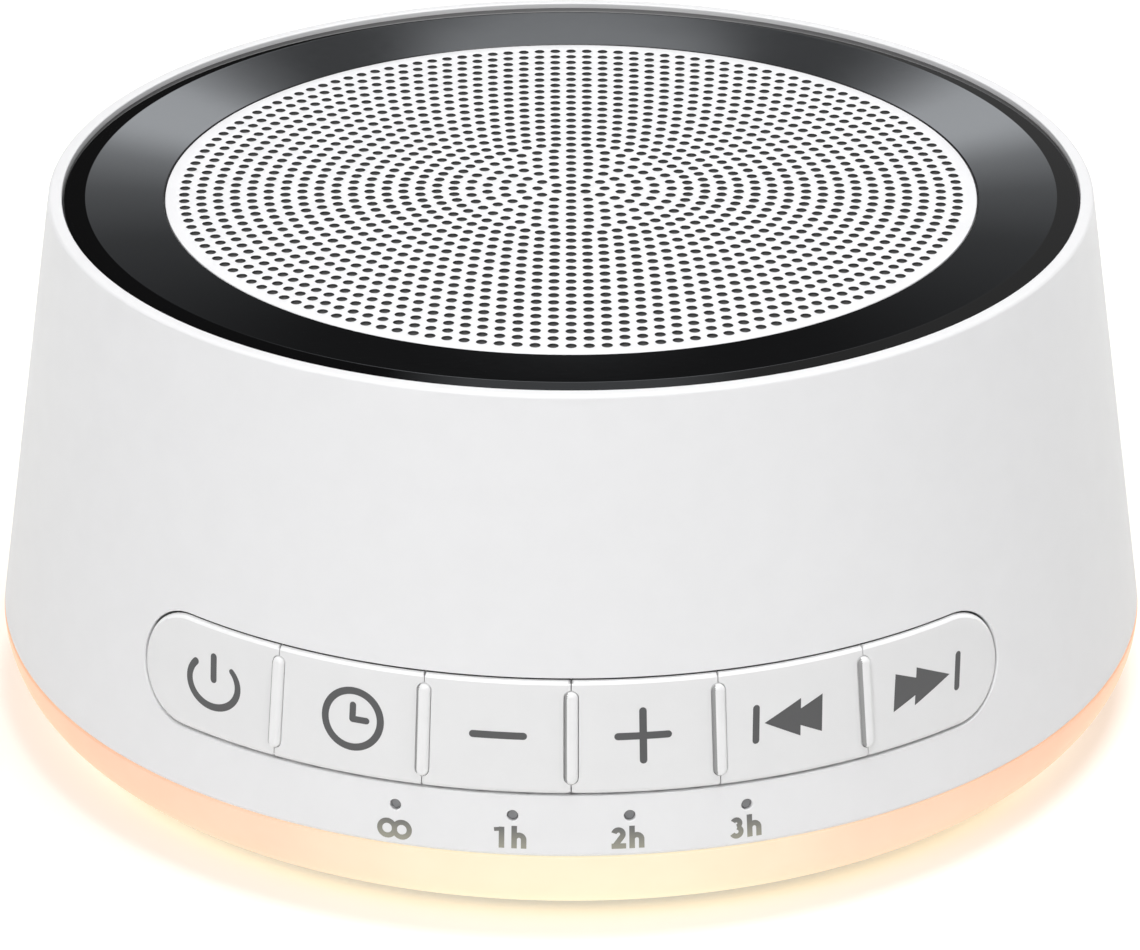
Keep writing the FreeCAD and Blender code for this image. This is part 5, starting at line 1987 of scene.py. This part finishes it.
@dataclass
class LightRing:
    """Glowing diffuser round the foot of the housing."""

    wall: Wall = Wall()
    foot_stand: float = 1.38
    undercut: float = 4.3
    curve: float = 7.53
    thickness: float = 2.0
    collar_radius: float = 52.3
    collar_width: float = 1.2
    collar_rise: float = 1.8
    inner_foot: float = 49.85
    base_top: float = 3.18
    look: Glow = Glow("light_diffuser")

    def outline(self) -> Outline:
        """The ring's section.

        Returns:
            A closed outline of radius and height.
        """
        seam, top = self.wall.seam_radius, self.wall.seam_height
        shoulder = top - self.collar_width
        outer = bulge((seam - self.undercut, self.foot_stand), (seam, top), self.curve, 1, 28)
        inner = bulge((seam - self.thickness - 0.1, shoulder), (self.inner_foot, self.base_top),
                      self.curve - self.thickness, -1, 14)
        outer[0] = (*outer[0][:2], 0.08)
        outer[-1] = (*outer[-1][:2], 0.08)
        collar_inner = self.collar_radius - self.collar_width
        corners = outer + [
            (self.collar_radius, top, 0.0),
            (self.collar_radius, top + self.collar_rise, 0.15),
            (collar_inner, top + self.collar_rise, 0.15),
            (collar_inner, shoulder, 0.0),
        ] + inner + [(self.inner_foot, self.foot_stand, 0.05)]
        return rounded(corners, 4)

    def build(self) -> None:
        """Makes the ring."""
        ring = Skin().lathe(self.outline(), ROUND_STEPS).make("glow_ring")
        finish_piece(ring, "root", self.look.build(), ["light_ring"])


@dataclass
class Base:
    """Bottom plate with its feet and its screws."""

    foot_stand: float = 1.38
    thick: float = 1.8
    radius: float = 49.6
    chamber_radius: float = 45.0
    chamber_wall: float = 1.5
    chamber_top: float = 8.0
    foot_radius: float = 5.5
    foot_ring: float = 38.0
    foot_sunk: float = 0.6
    post_ring: float = 40.0
    sleeve_radius: float = 4.0
    sleeve_top: float = 6.0
    bore_radius: float = 1.5
    sink_radius: float = 2.8
    sink_depth: float = 3.0
    standoff_ring: float = 31.0
    standoff_radius: float = 3.0
    standoff_top: float = 10.6
    standoff_bore: float = 1.1
    screw_radius: float = 1.3
    screw_length: float = 11.62
    head_radius: float = 2.4
    head_rise: float = 1.7
    thread_pitch: float = 0.9
    cross: Spot = (1.35, 0.32)
    clear: float = 1.0
    flare: float = 1.2
    chamfer: float = 0.2
    plate_look: Moulded = Moulded("base_white", (0.74, 0.74, 0.745), 0.5, 0.25, 0.004)
    foot_look: Rubber = Rubber("foot_rubber", (0.045, 0.045, 0.048))
    screw_look: Metal = Metal("screw_steel", (0.50, 0.49, 0.47), 0.32)

    @property
    def plate_top(self) -> float:
        """Height of the plate's upper face."""
        return self.foot_stand + self.thick

    def build_plate(self) -> None:
        """Makes the plate with its sleeves, stand-offs, foot recesses and screw holes."""
        inner = self.chamber_radius - self.chamber_wall
        section = rounded([
            (0.0, self.foot_stand, 0.0),
            (self.radius, self.foot_stand, 0.3),
            (self.radius, self.plate_top, 0.2),
            (self.chamber_radius, self.plate_top, 0.3),
            (self.chamber_radius, self.chamber_top, 0.15),
            (inner, self.chamber_top, 0.15),
            (inner, self.plate_top, 0.3),
            (0.0, self.plate_top, 0.0),
        ])
        plate = Skin().lathe(section, 360).make("base_plate")
        tubes = Skin()
        for spot in ring_spots(self.post_ring, 4):
            tubes.lathe(self.tube_section(self.sleeve_radius, self.sleeve_top), 40, spot)
        for spot in ring_spots(self.standoff_ring, 3):
            tubes.lathe(self.tube_section(self.standoff_radius, self.standoff_top), 40, spot)
        carve(plate, tubes.make("base_tubes"), Carving.JOIN)
        carve(plate, self.holes().make("base_holes"), Carving.CUT)
        finish_piece(plate, "root", self.plate_look.build(), ["base_cover"])

    def tube_section(self, radius: float, top: float) -> Outline:
        """Section of a solid post that stands in the plate."""
        low = self.plate_top - 0.5
        return rounded([(0.0, low, 0.0), (radius, low, 0.0), (radius, top, 0.2), (0.0, top, 0.0)])

    def holes(self) -> Skin:
        """Cutters for the recesses and screw holes.

        Returns:
            The cutters, as one skin.
        """
        under, mouth = self.foot_stand - self.clear, self.foot_stand + self.chamfer
        deep, sunk = self.foot_stand + self.sink_depth, self.foot_stand + self.foot_sunk
        floor, end = self.plate_top + 0.1, self.standoff_top + self.clear
        over = self.sleeve_top + self.clear
        recess = self.foot_radius + 0.1
        sinks = [(0.0, under), (self.sink_radius + self.flare, under), (self.sink_radius, mouth),
                 (self.sink_radius, deep), (self.bore_radius, deep), (self.bore_radius, over), (0.0, over)]
        pilots = [(0.0, floor), (self.standoff_bore, floor), (self.standoff_bore, end), (0.0, end)]
        recesses = [(0.0, under), (recess + self.flare, under), (recess, mouth), (recess, sunk), (0.0, sunk)]
        skin = Skin()
        for section, steps, spots in ((sinks, 40, ring_spots(self.post_ring, 4)),
                                      (pilots, 32, ring_spots(self.standoff_ring, 3)),
                                      (recesses, 64, ring_spots(self.foot_ring, 4, 0.0))):
            for spot in spots:
                skin.lathe(section, steps, spot)
        return skin

    def build_feet(self) -> None:
        """Makes four rubber feet with ringed soles."""
        top = self.foot_stand + self.foot_sunk
        corners = [(0.0, 0.0, 0.0)]
        for groove in (1.5, 3.0, 4.2):
            corners += [(groove - 0.25, 0.0, 0.04), (groove - 0.15, 0.22, 0.0), (groove + 0.15, 0.22, 0.0),
                        (groove + 0.25, 0.0, 0.04)]
        corners += [(self.foot_radius, 0.0, 0.5), (self.foot_radius, top, 0.1), (0.0, top, 0.0)]
        skin = Skin()
        for spot in ring_spots(self.foot_ring, 4, 0.0):
            skin.lathe(rounded(corners, 4), 72, spot)
        finish_piece(skin.make("rubber_feet"), "root", self.foot_look.build(), ["feet"])

    def build_screws(self) -> None:
        """Makes four screws with cross recesses and ridged shanks."""
        seat = self.foot_stand + self.sink_depth
        top = seat + self.screw_length
        corners = [(0.0, seat - self.head_rise, 0.0), (self.head_radius, seat - self.head_rise, 0.7),
                   (self.head_radius, seat, 0.1)]
        ridges = int((self.screw_length - 2.0) / self.thread_pitch)
        core = self.screw_radius * 0.8
        for ridge in range(ridges):
            height = seat + 0.4 + ridge * self.thread_pitch
            corners += [(core, height, 0.0), (self.screw_radius, height + self.thread_pitch * 0.35, 0.0),
                        (core, height + self.thread_pitch * 0.6, 0.0)]
        corners += [(core, top - 1.2, 0.0), (0.0, top, 0.0)]
        skin, slots = Skin(), Skin()
        long, wide = self.cross
        arm = [(wide, -wide), (long, -wide), (long, wide), (wide, wide)]
        arms = [arm, [(-y, x) for x, y in arm], [(-x, -y) for x, y in arm], [(y, -x) for x, y in arm]]
        cross = [corner for turned in arms for corner in turned[1:]]
        for spot in ring_spots(self.post_ring, 4):
            skin.lathe(rounded(corners, 4), 40, spot)
            loops = []
            for depth, share in ((-0.2, 1.1), (0.55, 0.85), (1.0, 0.35)):
                height = seat - self.head_rise + depth
                loops.append([Vector((spot[0] + x * share, spot[1] + y * share, height)) for x, y in cross])
            slots.tube(loops)
        screws = skin.make("base_screw_set")
        carve(screws, slots.make("screw_slots"), Carving.CUT)
        finish_piece(screws, "root", self.screw_look.build(), ["base_screws"])

    def build(self) -> None:
        """Makes the base."""
        self.build_plate()
        self.build_feet()
        self.build_screws()


@dataclass
class PowerInlet:
    """Power socket at the back, with its tongue and contacts."""

    face: float = 53.6
    height: float = 13.83
    width: float = 8.94
    rise: float = 3.26
    length: float = 7.4
    sheet: float = 0.3
    gap: float = 0.2
    corner: float = 1.37
    tongue_width: float = 6.705
    tongue_length: float = 5.18
    tongue_thick: float = 0.7
    contacts: int = 12
    contact_pitch: float = 0.5
    contact_width: float = 0.26
    shell_look: Metal = Metal("plated_steel", (0.68, 0.68, 0.70), 0.22, (14.0, 1.0, 1.0))
    tongue_look: Moulded = Moulded("switch_black", (0.02, 0.02, 0.022), 0.45)
    contact_look: Metal = Metal("contact_gold", (0.83, 0.60, 0.24), 0.2)

    def slot(self, grow: float, along: float) -> list[Vector]:
        """The socket's round-cornered outline.

        Args:
            grow: How far it is grown all round.
            along: How far behind the centre it lies.

        Returns:
            The outline's points.
        """
        across, up = self.width / 2 + grow, self.rise / 2 + grow
        outline = rectangle(across, up, max(self.corner + grow, 0.1), 8)
        return [Vector((x, along, self.height + y)) for x, y in outline]

    def opening(self, wall: Wall, flare: Sequence[Spot]) -> list[list[Vector]]:
        """Loops of the cutter for the housing's opening, with a mouth that follows the wall.

        Args:
            wall: The housing's wall.
            flare: Growth and proud of each loop from inside to outside.

        Returns:
            The loops.
        """
        loops = []
        for grow, proud in flare[1:]:
            line = []
            for spot in self.slot(self.gap + grow, 0.0):
                up = (spot.z - self.height) / math.cos(wall.tilt)
                line.append(wall.place(180.0, self.height, -spot.x, up, proud))
            loops.append(line)
        inside = [Vector((point.x, self.face - self.length, point.z)) for point in loops[0]]
        return [inside] + loops

    def build(self) -> None:
        """Makes the socket."""
        back = self.face - self.length
        floor = back + self.sheet * 3
        loops = [self.slot(-0.1, back), self.slot(0.0, back + 0.1), self.slot(0.0, self.face - 0.12),
                 self.slot(-0.05, self.face - 0.03), self.slot(-0.12, self.face),
                 self.slot(0.05 - self.sheet, self.face), self.slot(-self.sheet, self.face - 0.15),
                 self.slot(-self.sheet, floor)]
        shell = Skin().tube(loops).make("socket_shell")
        finish_piece(shell, "root", self.shell_look.build(), ["power_socket"])
        self.build_tongue(floor)

    def build_tongue(self, floor: float) -> None:
        """Makes the tongue and its contacts.

        Args:
            floor: How far behind the centre the socket's floor lies.
        """
        tip = floor + self.tongue_length
        tongue = Skin().tube([self.block(self.tongue_width, self.tongue_thick, 0.12, floor),
                              self.block(self.tongue_width, self.tongue_thick, 0.12, tip - 0.2),
                              self.block(self.tongue_width - 0.4, self.tongue_thick - 0.3, 0.08, tip)])
        finish_piece(tongue.make("socket_tongue_black"), "root", self.tongue_look.build(),
                     ["socket_tongue"])
        strips = Skin()
        reach = (self.contacts - 1) / 2
        for index in range(self.contacts):
            across = (index - reach) * self.contact_pitch
            for side in (-1, 1):
                low, high = self.tongue_thick / 2 - 0.05, self.tongue_thick / 2 + 0.02
                half = self.contact_width / 2
                corners = [(across - half, low), (across + half, low),
                           (across + half, high), (across - half, high)]
                ends = (floor + 0.3, tip - 0.6)
                strips.tube([[Vector((x, end, self.height + side * z)) for x, z in corners] for end in ends])
        finish_piece(strips.make("socket_contacts"), "root", self.contact_look.build())

    def block(self, width: float, thick: float, corner: float, along: float) -> list[Vector]:
        """A round-cornered rectangle across the socket."""
        outline = rectangle(width / 2, thick / 2, corner, 4)
        return [Vector((x, along, self.height + y)) for x, y in outline]


@dataclass
class Gasket:
    """Foam ring that is squeezed between the loudspeaker and the shelf."""

    inner: float = 32.0
    outer: float = 35.5
    low: float = 44.6
    top: float = 45.4
    swell: float = 0.3
    screw_ring: float = 33.3
    screw_hole: float = 1.4
    fill: float = 0.9
    look: Foam = Foam("foam_black", (0.05, 0.05, 0.055))

    def build(self) -> None:
        """Makes the ring, whose sides swell where nothing holds them."""
        section = rounded([
            (self.inner, self.low, self.swell),
            (self.outer, self.low, self.swell),
            (self.outer, self.top, self.swell),
            (self.inner, self.top, self.swell),
        ], 6)
        ring = Skin().lathe(section, 240).make("speaker_foam")
        holes = Skin()
        levels = (self.low - 1.0, self.top + 1.0)
        for spot in ring_spots(self.screw_ring, 4):
            rim = circle(spot, self.screw_hole, 32)
            holes.tube([[Vector((x, y, level)) for x, y in rim] for level in levels])
        carve(ring, holes.make("gasket_holes"), Carving.CUT)
        finish_piece(ring, "root", self.look.build(), ["speaker_gasket"])


@dataclass
class Inside:
    """Finishes for the nodes that keep their own shapes inside the housing."""

    nodes: dict[str, bpy.types.Object]
    edge: float = 0.08
    plain: dict[str, Finish] = field(default_factory=lambda: {
        "pressed_steel": Metal("pressed_steel", (0.42, 0.42, 0.43), 0.38),
        "surround_rubber": Rubber("surround_rubber", (0.02, 0.02, 0.022), 0.6),
        "cone_paper": Fibre("cone_paper", (0.05, 0.05, 0.052)),
        "spider_cloth": Fibre("spider_cloth", (0.62, 0.42, 0.16), 0.25, 1.1),
        "former_tan": Fibre("former_tan", (0.55, 0.33, 0.12), 0.5),
        "copper_wire": Winding("copper_wire"),
        "plated_steel": Metal("motor_zinc", (0.60, 0.60, 0.58), 0.3),
        "ferrite_dark": Ceramic("ferrite_dark"),
        "screw_steel": Metal("small_screw_steel", (0.48, 0.47, 0.45), 0.3),
        "board_tan": CircuitBoard("board_tan", (0.42, 0.27, 0.11), (0.62, 0.45, 0.2)),
        "plunger_grey": Moulded("plunger_grey", (0.35, 0.35, 0.36), 0.4),
        "switch_black": Moulded("switch_case_black", (0.025, 0.025, 0.027), 0.45),
        "flex_amber": CircuitBoard("flex_amber", (0.50, 0.20, 0.03), (0.68, 0.34, 0.10), 1.4),
        "inner_grey": Moulded("inner_grey", (0.30, 0.30, 0.31), 0.5),
        "led_body": Clear("led_body", (0.85, 0.82, 0.62), 0.3, 0.3),
        "board_white": CircuitBoard("board_white", (0.75, 0.75, 0.73), (0.86, 0.86, 0.84)),
        "board_green": CircuitBoard("board_green", (0.015, 0.14, 0.05), (0.03, 0.22, 0.08)),
        "chip_black": Moulded("chip_black", (0.018, 0.018, 0.02), 0.55, 0.08, 0.003),
        "capacitor_sleeve": Sleeve("capacitor_sleeve", (0.02, 0.025, 0.06), 19.6),
        "connector_cream": Moulded("connector_cream", (0.72, 0.66, 0.50), 0.45),
        "lead_red": Rubber("lead_red", (0.42, 0.02, 0.02), 0.4),
    })
    square_nodes: tuple[str, ...] = ("board_chips", "board_connectors", "key_switches", "light_leds",
                                     "indicator_leds", "magnet_top_plate", "speaker_magnet", "pole_yoke")

    def build(self) -> None:
        """Gives every node that still shows its own finish."""
        made: dict[str, bpy.types.Material] = {}
        for name, node in sorted(self.nodes.items()):
            if node.hide_render:
                continue
            for place in node.material_slots:
                slot = place.material.name.split(".")[0]
                if slot not in made:
                    made[slot] = self.plain[slot].build()
                place.material = made[slot]
            if name in self.square_nodes:
                self.ease(node)
            LOG.info("%s keeps its own shape", name)

    def ease(self, node: bpy.types.Object) -> None:
        """Breaks a node's sharp edges, once the corners that its faces share are one point each.

        Args:
            node: The node.
        """
        node.modifiers.new("shared corners", "WELD").merge_threshold = MERGE * MM
        bevel = node.modifiers.new("eased edges", "BEVEL")
        bevel.width = self.edge * MM
        bevel.segments = 2
        bevel.limit_method = "ANGLE"
        bevel.angle_limit = math.radians(40)


# Studio

@dataclass(frozen=True)
class Viewpoint:
    """The photograph's camera."""

    place: Colour = (-0.1, -438.55, 228.8)
    pitch: float = 64.45
    lens: float = 158.82
    sensor: float = 36.0

    def build(self) -> None:
        """Makes the camera."""
        data = bpy.data.cameras.new("viewpoint")
        data.lens = self.lens
        data.sensor_width = self.sensor
        camera = bpy.data.objects.new("viewpoint", data)
        camera.location = Vector(self.place) * MM
        camera.rotation_euler = (math.radians(self.pitch), 0.0, 0.0)
        bpy.context.scene.collection.objects.link(camera)
        bpy.context.scene.camera = camera


@dataclass(frozen=True)
class Lamp:
    """A soft square lamp that faces the object."""

    name: str
    place: Colour
    size: float
    power: float
    colour: Colour = (1.0, 1.0, 1.0)
    aim: Colour = (0.0, 0.0, 0.025)

    def build(self) -> None:
        """Makes the lamp."""
        data = bpy.data.lights.new(self.name, "AREA")
        data.shape = "DISK"
        data.size = self.size
        data.energy = self.power
        data.color = self.colour
        lamp = bpy.data.objects.new(self.name, data)
        lamp.location = self.place
        lamp.rotation_euler = (Vector(self.aim) - lamp.location).to_track_quat("-Z", "Y").to_euler()
        bpy.context.scene.collection.objects.link(lamp)


@dataclass
class Studio:
    """Plain pale floor, soft light all round, and a banded sky behind for the gloss."""

    floor_size: float = 3.0
    floor_colour: float = 0.72
    floor_lift: float = 0.36
    # Near the object the floor's lift is pale yellow, a painted glow from the light ring, fading to white
    # further out.
    glow_pool_colour: Colour = (1.0, 0.98, 0.85)
    floor_gap: float = 0.04
    white_from: float = 80.0
    white_at: float = 320.0
    sky: float = 0.45
    lamps: tuple[Lamp, ...] = (
        Lamp("front_lamp", (-0.26, -0.82, 0.55), 0.6, 3.7),
        Lamp("top_lamp", (0.12, 0.0, 0.95), 0.4, 5.4),
    )
    bands: tuple[tuple[float, float], ...] = (
        (0.0, 0.15), (12.9, 0.15), (13.4, 0.02), (15.0, 0.03), (17.0, 0.10), (20.0, 0.21),
        (22.5, 0.50), (24.3, 1.1), (25.6, 2.5), (27.2, 2.5), (28.4, 0.90), (29.4, 0.30),
        (30.6, 0.32), (31.2, 1.6), (33.0, 1.6), (36.0, 0.5),
    )
    band_tint: Colour = (0.96, 1.0, 1.05)
    band_sides: Spot = (0.075, 0.04)
    behind: Spot = (0.35, 0.75)
    side_bands: Spot = (0.02, 0.2)
    side_blend: float = 0.05

    def build_floor(self) -> None:
        """Makes the floor, lifted to white for the eye but still shaded by the object, with a painted pale
        yellow glow near the object that fades to white further out.
        """
        half = self.floor_size / 2 / MM
        skin = Skin()
        corners = [(-half, -half), (half, -half), (half, half), (-half, half)]
        skin.faces.append(tuple(skin.loop(Vector((x, y, 0.0)) for x, y in corners)))
        floor = skin.make("floor")
        floor.location.z = -self.floor_gap * MM
        recipe = Recipe("floor_paper")
        tone = (self.floor_colour,) * 3
        recipe.paint(recipe.noise(60.0, 2.0), shade(tone, 0.995), shade(tone, 1.005))
        recipe.value(roughness=0.9, specular_ior_level=0.1)
        rays = recipe.add("ShaderNodeLightPath").outputs
        passing = recipe.math("MAXIMUM", rays["Is Glossy Ray"], rays["Is Transmission Ray"])
        seen = recipe.math("MAXIMUM", rays["Is Camera Ray"], passing)
        away = recipe.add("ShaderNodeVectorMath", operation="LENGTH")
        recipe.link(recipe.object_place, away.inputs[0])
        reach = (away.outputs["Value"], self.white_from * MM, self.white_at * MM)
        # A painted pale yellow glow near the object, fading to white.
        tint = recipe.ramp(recipe.span(*reach), [(0.0, self.glow_pool_colour), (1.0, (1.0, 1.0, 1.0))])
        recipe.link(tint, recipe.shader.inputs["Emission Color"])
        recipe.link(recipe.math("MULTIPLY", recipe.span(*reach, self.floor_lift, 1.0), seen),
                    recipe.shader.inputs["Emission Strength"])
        floor.data.materials.append(recipe.material)

    def build_sky(self) -> None:
        """Makes the world: white to the eye, even for lighting, banded behind for the gloss."""
        world = bpy.data.worlds.new("studio_sky")
        bpy.context.scene.world = world
        world.use_nodes = True
        nodes = Nodes(world.node_tree)
        split = nodes.add("ShaderNodeSeparateXYZ")
        nodes.link(nodes.add("ShaderNodeTexCoord").outputs["Generated"], split.inputs[0])
        across, along, up = (split.outputs[name] for name in "XYZ")
        top = max(level for _, level in self.bands)
        stops = [(math.sin(math.radians(angle)), tuple(level / top * tint for tint in self.band_tint))
                 for angle, level in self.bands]
        scale = nodes.add("ShaderNodeVectorMath", operation="SCALE")
        scale.inputs["Scale"].default_value = top
        nodes.link(nodes.ramp(up, stops), scale.inputs[0])
        left, right = [(level, level, level, 1.0) for level in self.side_bands]
        sides = nodes.mixed(nodes.span(across, -self.side_blend, self.side_blend), left, right)
        outer, inner = self.band_sides
        middle = nodes.math("MULTIPLY", nodes.span(across, -outer, -inner), nodes.span(across, outer, inner))
        bands = nodes.mixed(middle, sides, scale.outputs[0])
        rays = nodes.add("ShaderNodeLightPath").outputs
        glossy = nodes.math("MULTIPLY", rays["Is Glossy Ray"], nodes.span(along, *self.behind))
        even = nodes.mixed(glossy, (self.sky, self.sky, self.sky * 1.01, 1.0), bands)
        seen = nodes.mixed(rays["Is Camera Ray"], even, (1.0, 1.0, 1.0, 1.0))
        background = nodes.tree.nodes["Background"]
        nodes.link(seen, background.inputs["Color"])
        background.inputs["Strength"].default_value = 1.0

    def build(self) -> None:
        """Makes the studio."""
        Viewpoint().build()
        self.build_floor()
        self.build_sky()
        for lamp in self.lamps:
            lamp.build()
        bpy.context.scene.view_settings.view_transform = "Standard"


def main() -> None:
    """Builds every sub-assembly in order."""
    logging.basicConfig(level=logging.INFO, format="%(message)s")
    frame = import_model()
    Studio().build()
    indicators, inlet, strip = Indicators(), PowerInlet(), KeyStrip()
    assemblies = (Housing(strip, indicators, inlet), TopFace(), Keys(strip), indicators, LightRing(),
                  Base(), inlet, Gasket(), Inside(frame["nodes"]))
    for assembly in assemblies:
        assembly.build()
        LOG.info("%s done", type(assembly).__name__)


if __name__ == "__main__":
    main()
